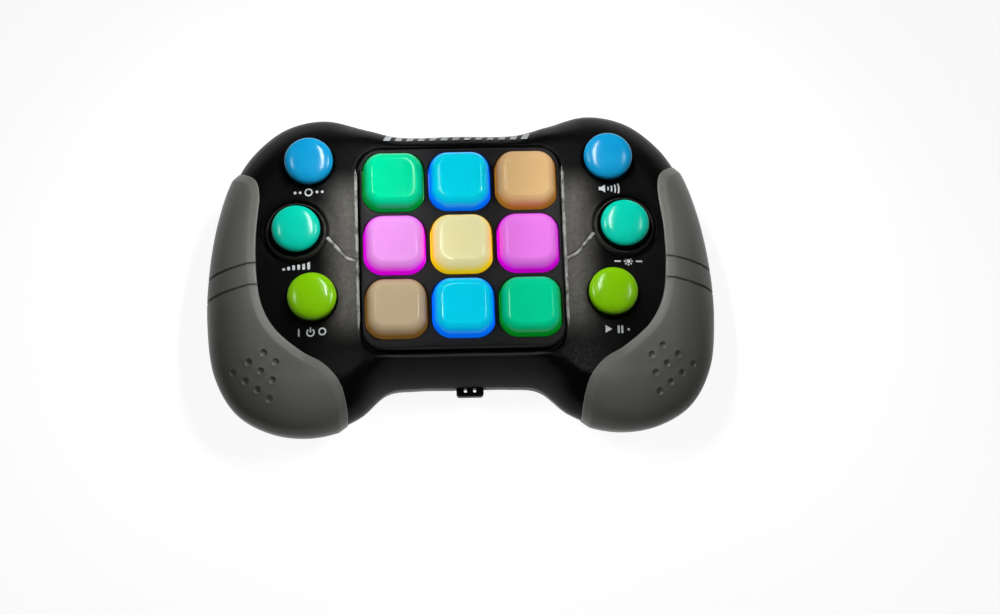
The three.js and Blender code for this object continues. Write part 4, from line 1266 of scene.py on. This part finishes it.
# Painted shade at the foot of a button's side: the share of its colour, and the heights over the case up to
# which it is full and by which it is gone
foot_shade = 0.25
foot_shade_low = 1.1
foot_shade_high = 2.7
button_colours = {"upper": ("blue", (10, 154, 212), (18, 160, 216)),
                  "middle": ("teal", (0, 211, 181), (4, 216, 186)),
                  "lower": ("lime", (139, 212, 0), (144, 217, 4))}


def button_finish(row, x, y, top):
    """Glossy plastic, with painted shade where the side of a button goes down into its hole."""
    colour, clean, handled = button_colours[row]
    made = finish(f"{colour}_plastic", clean, handled, *button_look)
    tree = made.node_tree
    foot = crown_height(np.array([[x, y]]))[0] - top + (collar_rise if row == "middle" else 0)
    # Painted shade: full low on the side, gone higher up
    shade = ranged(tree, object_parts(tree)["Z"], (foot + foot_shade_low) * MM,
                   (foot + foot_shade_high) * MM, 1, 0, True)
    tint(made, shade, [value * foot_shade for value in clean])
    return made


button_finishes = {name.split("_")[0]: button_finish(name.split("_")[0], x, y, top)
                   for name, x, y, top in buttons if "left" in name}


def turned_rings(profile, count=96):
    angles = [k * 2 * math.pi / count for k in range(count)]
    return [[(radius * math.cos(a), radius * math.sin(a), level) for a in angles]
            for radius, level in profile]


def button_profile(low, top):
    flange_top = guide_foot - seat_gap
    flange_foot = flange_top - button_flange
    reach = button_radius + button_flange_reach
    profile = [(button_stem, low), (button_stem, flange_foot), (reach, flange_foot), (reach, flange_top),
               (button_radius, flange_top)]
    for step in range(button_steps + 1):
        angle = step / button_steps * math.pi / 2
        radius = button_radius * max(math.cos(angle), 0) ** (2 / button_curve)
        profile.append((max(radius, button_peak_radius),
                        top - button_crown * (1 - math.sin(angle) ** (2 / button_curve))))
    return [(radius, level - top) for radius, level in profile]


def make_buttons():
    for name, x, y, top in buttons:
        skin = Skin()
        skin.loft(turned_rings(button_profile(span(name)[0][2], top)))
        row = name.split("_")[0]
        made = skin.piece(f"{name}_cap", button_finishes[row], name, f"button_{button_colours[row][0]}",
                          sharp=50)
        made.location = Vector((x, y, top)) * MM
        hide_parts(name)


make_buttons()


# Silver trim: a strip along each side of the panel and the lines to the middle buttons

strip_centre = 30.6
strip_half = 0.45
strip_rear = 29.2
strip_front = -21.0
strip_foot = 23.5
strip_level = 24.7
strip_proud = 0.08
strip_step = 0.35
strip_taper = 2.6
strip_end_share = 0.15
strip_edge = 0.15
strip_wear = (0.045, 0.035)
worn_shift = 40
worn_waves = ((1, 1.7, 0), (0.7, 3.1, 1.3), (0.5, 7.3, 0.4))
line_half = 0.5
line_sink = 0.08
line_edge = 0.12
trim_spacing = 0.4
thin_edge_shares = [0.12, 0.4, 1]


def thin_pieces(name, loop, height, foot, edge):
    """Thin raised shapes over both sides of the case: plan loop, top over the surface and foot."""
    way = outward(loop, True)
    lines = closed([loop, *[loop - way * edge * share for share in thin_edge_shares]])
    points, triangles, centres = flat_net(lines, [], trim_spacing)
    high = height(points) - lip_fall(np.maximum(-signed_distance(points, loop), 0), edge)
    for side, hand in sides:
        skin = Skin()
        skin.terrace(points, triangles, [(inside(centres, loop), foot(points), high)])
        skin.piece(f"{hand}_{name}", silver_paint, "case", "case_black", sharp=60, mirror=side < 0)


def worn_edge(along, half, amount):
    """The uneven edge of thin paint: a few waves of unlike length."""
    return half + amount * sum(share * np.sin(along * pace + start) for share, pace, start in worn_waves)


def signed_area(loop):
    x, y = loop[:, 0], loop[:, 1]
    return 0.5 * (x * np.roll(y, -1) - np.roll(x, -1) * y).sum()


def make_silver_trim():
    steps = np.arange(strip_front, strip_rear, strip_step)
    from_end = np.minimum(steps - strip_front, strip_rear - steps)
    taper = strip_end_share + (1 - strip_end_share) * smooth(0, strip_taper, from_end)
    right = strip_centre + worn_edge(steps, strip_half, strip_wear[0]) * taper
    left = strip_centre - worn_edge(steps + worn_shift, strip_half, strip_wear[1]) * taper
    loop = np.vstack([np.stack([right, steps], axis=1), np.stack([left, steps], axis=1)[::-1]])
    thin_pieces("silver_strip", loop, lambda p: np.maximum(case_top_height(p), strip_level) + strip_proud,
                lambda p: strip_foot, strip_edge)
    line = branches[0]
    way = outward(line, False)
    loop = np.vstack([line + way * line_half, (line - way * line_half)[::-1]])
    if signed_area(loop) < 0:
        loop = loop[::-1]
    thin_pieces("silver_line", loop, lambda p: top_height(p) - line_sink,
                lambda p: top_height(p) - branch_depth, line_edge)


make_silver_trim()


# Printed signs: plain pictograms by the buttons and a row of slanted bars on the rear slope

print_rise = 0.05
print_sink = 0.15
print_line = 0.18
print_spacing = 0.25
sign_free_spacing = 0.6
sign_net_spacing = 0.5
dot_sides = 20
ring_sides = 32
arc_points = 18
sign_scale = 1.18
bar_count = 13
bar_step = 2.9
bar_lean = 0.45
bar_half_width = 0.8
bar_half_height = 1.15
bar_row_place = (-0.2, 39.5)


def bar_sign(x, y, half_width, half_height):
    corner = min(half_width, half_height) / 2
    return [rounded_loop(x, y, half_width, half_height, corner, print_spacing)]


def dot_sign(x, y, radius):
    return [circle_loop(x, y, radius, dot_sides)]


def ring_sign(x, y, radius):
    return [circle_loop(x, y, radius + side * print_line, ring_sides) for side in (1, -1)]


def arc_sign(x, y, radius, start, end):
    turns = np.radians(np.linspace(start, end, arc_points))
    ways = np.stack([np.cos(turns), np.sin(turns)], axis=1)
    outer, inner = ((x, y) + ways * (radius + side * print_line) for side in (1, -1))
    return [np.vstack([outer, inner[::-1]])]


def ray_sign(x, y, near, far, turn):
    way = np.array([math.cos(turn), math.sin(turn)])
    side = np.array([-way[1], way[0]]) * print_line
    start, end = np.array([x, y]) + way * near, np.array([x, y]) + way * far
    return corner_sign([start - side, end - side, end + side, start + side])


def corner_sign(corners):
    return [divided(np.array(corners, float), print_spacing, True)]


def mode_sign():
    loops = ring_sign(0, 0, 0.85)
    for x in (-3.4, -2.1, 2.1, 3.4):
        loops += dot_sign(x, 0, 0.34)
    return loops


def level_sign():
    loops = []
    for step in range(6):
        height = 0.3 + 0.16 * step
        loops += bar_sign(-3.1 + 1.24 * step, height - 1, 0.34, height)
    return loops


def power_sign():
    loops = arc_sign(0, -0.1, 0.88, -235, 55) + bar_sign(0, 0.55, print_line, 0.62)
    loops += bar_sign(-2.9, 0, print_line, 0.95) + ring_sign(2.9, 0, 0.8)
    return loops


def sound_sign():
    loops = corner_sign([(-3.1, -0.45), (-2.4, -0.45), (-1.5, -1.05),
                         (-1.5, 1.05), (-2.4, 0.45), (-3.1, 0.45)])
    for radius in (1.3, 2.2, 3.1, 4.0):
        loops += arc_sign(-2.0, 0, radius, -20, 20)
    return loops


def light_sign():
    loops = dot_sign(0, 0, 0.5)
    for step in range(8):
        loops += ray_sign(0, 0, 0.72, 1.12, step * math.pi / 4)
    for side in (-1, 1):
        loops += bar_sign(side * 2.7, 0, 0.8, print_line)
    return loops


def pause_sign():
    loops = corner_sign([(-2.9, -0.95), (-1.2, 0), (-2.9, 0.95)])
    for x in (0.4, 1.3):
        loops += bar_sign(x, 0, 0.26, 0.95)
    loops += bar_sign(2.9, 0, 0.28, 0.28)
    return loops


def bar_row_sign():
    """Slanted bars in a row, where the rear slope carries its print."""
    loops = []
    for step in range(bar_count):
        x = (step - (bar_count - 1) / 2) * bar_step
        loops += corner_sign([(x + across * bar_half_width + up * bar_lean, up * bar_half_height)
                              for across, up in ((-1, -1), (1, -1), (1, 1), (-1, 1))])
    return loops


def make_sign(name, loops, place):
    loops = [loop * sign_scale + np.array(place) for loop in loops]
    low, high = np.vstack(loops).min(0), np.vstack(loops).max(0)
    free = hex_points(box_loop(*(low + high) / 2, *(high - low) / 2), sign_free_spacing)
    points, triangles, centres = flat_net(closed(loops), free, sign_net_spacing)
    printed = np.zeros(len(centres), bool)
    for loop in loops:
        printed ^= inside(centres, loop)
    surface = top_height(points)
    skin = Skin()
    skin.terrace(points, triangles, [(printed, surface - print_sink, surface + print_rise)])
    skin.piece(name, print_paint, "case", "case_black", sharp=60)


sign_places = [
    ("upper_left_sign", mode_sign, (-44.5, 22.3)), ("middle_left_sign", level_sign, (-48.5, -0.5)),
    ("lower_left_sign", power_sign, (-44.6, -20.5)), ("upper_right_sign", sound_sign, (45.0, 21.9)),
    ("middle_right_sign", light_sign, (49.1, -0.8)), ("lower_right_sign", pause_sign, (44.9, -21.3)),
]
for name, shape, place in sign_places:
    make_sign(name, shape(), place)
make_sign("rear_bar_row", bar_row_sign(), bar_row_place)


# Battery door, screws, cells and lanyard tab

door_face = 0.15
door_top = 2.15
door_corner = 1.0
door_border = 3.0
door_border_corner = 1.5
door_border_steps = [0, 0.12, 0.68, 0.8]
door_groove = 0.3
door_edge = 0.3
door_edge_steps = [0, 0.03, 0.12, door_edge]
door_loop_spacing = 1.2
door_free_spacing = 2.4
door_net_spacing = 2.0
sink_radius = 2.5
sink_top = 1.35
sink_edge = 0.25
sink_steps = [0, 0.1, sink_edge]
cross_half = 0.32
cross_reach = 1.3
cross_depth = 0.8
cross_head_radius = 2.5
head_edge = 0.3
head_edge_steps = [0, 0.04, 0.15, head_edge]
screw_tip_radius = 0.3
screw_tip_length = 0.8
screw_lap = 0.2
screw_free_inset = 0.5
screw_spacing = 0.6
screw_sides = 24
cross_spacing = 0.3
cross_depth_share = 0.6
screw_sizes = {"case": (1.6, 1.2), "battery_door": (0.9, 1.1)}


def make_door():
    edges = [rounded_loop(0, bay_shift, door_half_width - growth, door_half_depth - growth,
                          door_corner - growth / 2, door_loop_spacing) for growth in door_edge_steps]
    borders = [rounded_loop(0, bay_shift, door_half_width - door_border - width,
                            door_half_depth - 2 * door_border - width, door_border_corner,
                            door_loop_spacing) for width in door_border_steps]
    holes = [circle_loop(*place, radius, well_sides)
             for radius in (door_screw_bore, *[sink_radius + growth for growth in sink_steps])
             for place in door_screw_places]
    points, triangles, centres = flat_net(
        closed(edges + borders + holes), hex_points(edges[0], door_free_spacing), door_net_spacing)
    face = door_face + lip_fall(np.maximum(-signed_distance(points, edges[0]), 0), door_edge)
    border = inside(points, borders[1]) & ~inside(points, borders[2])
    face = np.where(border, door_face + door_groove, face)
    for place in door_screw_places:
        face += lip_fall(np.hypot(*(points - place).T) - sink_radius, sink_edge)
    roundness = math.cos(math.pi / well_sides)
    sink = close_to(centres, door_screw_places, sink_radius * roundness)
    kept = inside(centres, edges[0]) & ~close_to(centres, door_screw_places, door_screw_bore * roundness)
    skin = Skin()
    skin.terrace(points, triangles, [(kept & ~sink, face, door_top), (kept & sink, sink_top, door_top)])
    made = skin.piece("door_plate", case_plastic, "battery_door", "case_black", sharp=35)
    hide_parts("battery_door")


def cross_loop(x, y, half, reach):
    corners = [(half, half), (half, reach), (-half, reach), (-half, half), (-reach, half), (-reach, -half),
               (-half, -half), (-half, -reach), (half, -reach), (half, -half), (reach, -half),
               (reach, half)]
    return divided(np.array([(x + dx, y + dy) for dx, dy in corners]), cross_spacing, True)


def make_screw(node, body):
    """A pan head screw, head down, with a cross recess."""
    low, high = span(node)
    x, y = (low[0] + high[0]) / 2, (low[1] + high[1]) / 2
    radius = (high[0] - low[0]) / 2
    thick, shank = screw_sizes[body]
    head_top = low[2] + thick
    cross = cross_loop(x, y, cross_half, cross_reach * radius / cross_head_radius)
    lines = closed([*[circle_loop(x, y, radius - inward, well_sides) for inward in head_edge_steps], cross])
    points, triangles, centres = flat_net(
        lines, hex_points(circle_loop(x, y, radius - screw_free_inset), screw_spacing), screw_spacing)
    away = np.hypot(points[:, 0] - x, points[:, 1] - y)
    face = low[2] + lip_fall(np.maximum(radius - away, 0), head_edge)
    recess = inside(centres, cross)
    kept = inside(centres, circle_loop(x, y, radius, well_sides))
    skin = Skin()
    skin.terrace(points, triangles, [
        (kept & ~recess, face, head_top),
        (kept & recess, low[2] + min(cross_depth, thick * cross_depth_share), head_top)])
    profile = [(shank, head_top - screw_lap), (shank, high[2] - screw_tip_length),
               (screw_tip_radius, high[2])]
    skin.loft([[(x + px, y + py, z) for px, py, z in ring] for ring in turned_rings(profile, screw_sides)])
    made = skin.piece(f"{node}_turned", screw_steel, body, "screw_steel", sharp=35)
    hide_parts(node)


cell_radius = 5.25
cell_core_radius = 5.1
cell_chamfer = 0.45
cell_nub_radius = 1.9
cell_nub_height = 0.8
cell_end = 0.8
cell_bevel = 0.2
cell_lap = 0.02
cell_axle = 0.05
cell_round = 0.15
cell_nub_round = 0.25
sleeve_turn_in = 1.3
sleeve_round = 0.1
sleeve_foot_rounds = (0.25, 0.5)
sleeve_top_round = 0.4
cell_sides = 64


def along_y(rings, x, y, z, facing):
    return [[(x + px, y + facing * pz, z + facing * py) for px, py, pz in ring] for ring in rings]


def make_cell(node, facing):
    """A round cell: a steel can with its nub, and a printed sleeve round it."""
    low, high = span(node)
    x, y, z = (low + high) / 2
    half = (high[1] - low[1]) / 2
    top = half - cell_nub_height
    core, sleeve_end = cell_core_radius, cell_core_radius - sleeve_turn_in
    can = [(cell_axle, -half), (core - cell_end, -half), (core - cell_round, cell_bevel - half),
           (core, cell_end - half), (core, top - cell_end), (core - cell_round, top - cell_bevel),
           (core - cell_end, top), (cell_nub_radius + sleeve_round, top - cell_round),
           (cell_nub_radius, top), (cell_nub_radius, half - cell_bevel),
           (cell_nub_radius - cell_nub_round, half), (cell_axle, half)]
    sleeve = [(sleeve_end, cell_lap - half), (cell_radius - cell_chamfer, cell_lap - half),
              (cell_radius - sleeve_round, sleeve_foot_rounds[0] - half),
              (cell_radius, sleeve_foot_rounds[1] - half), (cell_radius, top - sleeve_top_round),
              (cell_radius - sleeve_round, top - sleeve_round),
              (cell_radius - cell_chamfer, top + cell_lap), (sleeve_end, top + cell_lap)]
    for name, profile, material in (("can", can, spring_steel), ("sleeve", sleeve, cell_wrap)):
        skin = Skin()
        skin.loft(along_y(turned_rings(profile, cell_sides), x, y, z, facing))
        made = skin.piece(f"{node}_{name}", material, "case", "cell", sharp=45)
        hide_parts(node)


tab_half = 4.0
tab_front = -36.93
tab_back = -30.0
tab_corner = 0.9
tab_low = 6.8
tab_high = 9.2
tab_edge = 0.35
tab_rim = 1.15
tab_bar = 1.8
tab_slot = 0.9
tab_slot_depth = 2.15
tab_slot_corner = 0.2
tab_slot_edge = 0.2
tab_edge_steps = [0, 0.04, 0.15, tab_edge]
tab_slot_steps = [0, 0.06, tab_slot_edge]
tab_loop_spacing = 0.5
tab_slot_spacing = 0.3
tab_free_spacing = 1.0
tab_net_spacing = 0.6


def slot_loop(x, y, growth):
    return rounded_loop(x, y, tab_slot / 2 + growth, tab_slot_depth / 2 + growth, tab_slot_corner + growth,
                        tab_slot_spacing)


def make_lanyard_tab():
    middle = (tab_front + tab_back) / 2
    half_depth = (tab_back - tab_front) / 2
    edges = [rounded_loop(anchor_shift, middle, tab_half - inward, half_depth - inward, tab_corner,
                          tab_loop_spacing) for inward in tab_edge_steps]
    slots = [(anchor_shift + side * (tab_bar + tab_slot) / 2, tab_front + tab_rim + tab_slot_depth / 2)
             for side in (-1, 1)]
    slot_loops = [slot_loop(*place, growth) for growth in tab_slot_steps for place in slots]
    points, triangles, centres = flat_net(
        closed(edges + slot_loops), hex_points(edges[0], tab_free_spacing), tab_net_spacing)
    kept = inside(centres, edges[0])
    fall = lip_fall(np.maximum(-signed_distance(points, edges[0]), 0), tab_edge)
    for place in slots:
        slot = slot_loop(*place, 0)
        kept &= ~inside(centres, slot)
        fall += lip_fall(signed_distance(points, slot), tab_slot_edge)
    skin = Skin()
    skin.terrace(points, triangles, [(kept, tab_low + fall, tab_high - fall)])
    made = skin.piece("lanyard_tab", case_plastic, "case", "case_black", sharp=45)
    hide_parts("lanyard_anchor")


make_door()
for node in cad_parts:
    if node.endswith("_case_screw"):
        make_screw(node, "case")
    if node.endswith("_door_screw"):
        make_screw(node, "battery_door")
for node, facing in (("left_cell", 1), ("centre_cell", -1), ("right_cell", 1)):
    make_cell(node, facing)
make_lanyard_tab()


# Finishes of the pieces that keep the part's own shape

def set_finish(node, material):
    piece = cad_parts[node]
    piece.data.materials.clear()
    piece.data.materials.append(material)


def dress_nodes():
    by_ending = {
        "_led": led_lens, "_contact": spring_steel, "_dome": spring_steel, "_screw": screw_steel,
        "board": board_green, "mat": mat_rubber, "chip": chip_epoxy, "_cell": cell_wrap,
        "speaker": speaker_black, "_lead": lead_skin, "_grip": grip_rubber, "_panel": panel_plastic,
    }
    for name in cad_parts:
        chosen = case_plastic
        for ending, material in by_ending.items():
            if name.endswith(ending):
                chosen = material
        if name.endswith("_button"):
            chosen = button_finishes[name.split("_")[0]]
        if name.endswith("_bubble"):
            chosen = bpy.data.materials[bubble_colours[name.removesuffix("_bubble")][0]]
        set_finish(name, chosen)


dress_nodes()


# Floor, light and camera

floor_shade = 0.34
floor_seen = 0.92
floor_width = 6
floor_drop = 0.2
world_light = 0.07

# Lamps: size, spread in degrees and radiance; the near ones stand this far to the right
lamp_along = (0, 1, 0)
far_lamp = ((24, 190), 30, 46)
near_lamp = ((8, 85), 62, 66)
near_lamp_places = {"right": 16.6, "left": -9.4}


def make_floor():
    """A floor that takes the shadow and reads as white where the camera or a mirror meets it."""
    made, tree, shader = new_material("white_floor")
    shader.inputs["Base Color"].default_value = (floor_shade, floor_shade, floor_shade, 1)
    shader.inputs["Roughness"].default_value = 1.0
    shader.inputs["Specular IOR Level"].default_value = 0.0
    rays = tree.nodes.new("ShaderNodeLightPath").outputs
    seen = calculated(tree, "MAXIMUM", rays["Is Camera Ray"], rays["Is Glossy Ray"])
    seen = calculated(tree, "MAXIMUM", seen, rays["Is Transmission Ray"])
    shader.inputs["Emission Color"].default_value = (1, 1, 1, 1)
    tree.links.new(calculated(tree, "MULTIPLY", seen, floor_seen), shader.inputs["Emission Strength"])
    bpy.ops.mesh.primitive_plane_add(size=floor_width, location=(0, 0, -floor_drop * MM))
    floor = bpy.context.object
    floor.name = "floor"
    floor.data.materials.append(made)


def strip_lamp(name, place, aim, along, size, spread, radiance):
    """A soft lamp with a grid: its long side runs along, its light stays within the spread."""
    lamp = bpy.data.lights.new(name, "AREA")
    lamp.shape = "RECTANGLE"
    lamp.size, lamp.size_y = size[0] * MM, size[1] * MM
    half = math.radians(spread) / 2
    beam = math.sin(half) ** 2 - (half - math.sin(2 * half) / 2) / math.tan(half)
    lamp.energy = radiance * math.pi * lamp.size * lamp.size_y * beam
    lamp.spread = 2 * half
    made = bpy.data.objects.new(name, lamp)
    back = (Vector(place) - Vector(aim)).normalized()
    across = Vector(along).cross(back).normalized()
    turn = Matrix((across, back.cross(across), back)).transposed().to_4x4()
    made.matrix_world = Matrix.Translation(Vector(place) * MM) @ turn
    made.visible_camera = False
    bpy.context.scene.collection.objects.link(made)


def make_world():
    world = bpy.data.worlds.new("studio")
    bpy.context.scene.world = world
    world.use_nodes = True
    tree = world.node_tree
    ground = tree.nodes["Background"]
    rays = tree.nodes.new("ShaderNodeLightPath")
    seen = tree.nodes.new("ShaderNodeMix")
    tree.links.new(rays.outputs["Is Camera Ray"], seen.inputs[0])
    seen.inputs[2].default_value = world_light
    seen.inputs[3].default_value = 1.0
    tree.links.new(seen.outputs[0], ground.inputs["Strength"])
    ground.inputs["Color"].default_value = (1, 1, 1, 1)


camera_aim = Vector((0, 2.85, 31.4))
camera_distance = 887
camera_lift = math.radians(70.7)
camera_turn = math.radians(-7.66)
camera_roll = math.radians(6.22)
camera_lens = 109.6
camera_film = 36
camera_shift = (0.0378, -0.064)
camera_near = 10


def make_camera():
    back = Vector((math.sin(camera_turn) * math.cos(camera_lift),
                   -math.cos(camera_turn) * math.cos(camera_lift), math.sin(camera_lift)))
    right = Vector((0, 0, 1)).cross(back).normalized()
    up = back.cross(right)
    rolled_right = right * math.cos(camera_roll) + up * math.sin(camera_roll)
    rolled_up = up * math.cos(camera_roll) - right * math.sin(camera_roll)
    data = bpy.data.cameras.new("camera")
    data.lens = camera_lens
    data.sensor_width = camera_film
    data.shift_x, data.shift_y = camera_shift
    data.clip_start = camera_near * MM
    camera = bpy.data.objects.new("camera", data)
    turn = Matrix((rolled_right, rolled_up, back)).transposed().to_4x4()
    camera.matrix_world = Matrix.Translation((camera_aim + back * camera_distance) * MM) @ turn
    bpy.context.scene.collection.objects.link(camera)
    bpy.context.scene.camera = camera


make_floor()
make_world()
for side, hand in sides:
    near = near_lamp_places[hand]
    strip_lamp(f"{hand}_far_lamp", (side * 170, 70, 225), (-side * 5, 10, 27), lamp_along, *far_lamp)
    strip_lamp(f"{hand}_near_lamp", (near, 61, 107), (near + side * 46, 19, 22), lamp_along, *near_lamp)
make_camera()
bpy.context.scene.view_settings.view_transform = "Standard"
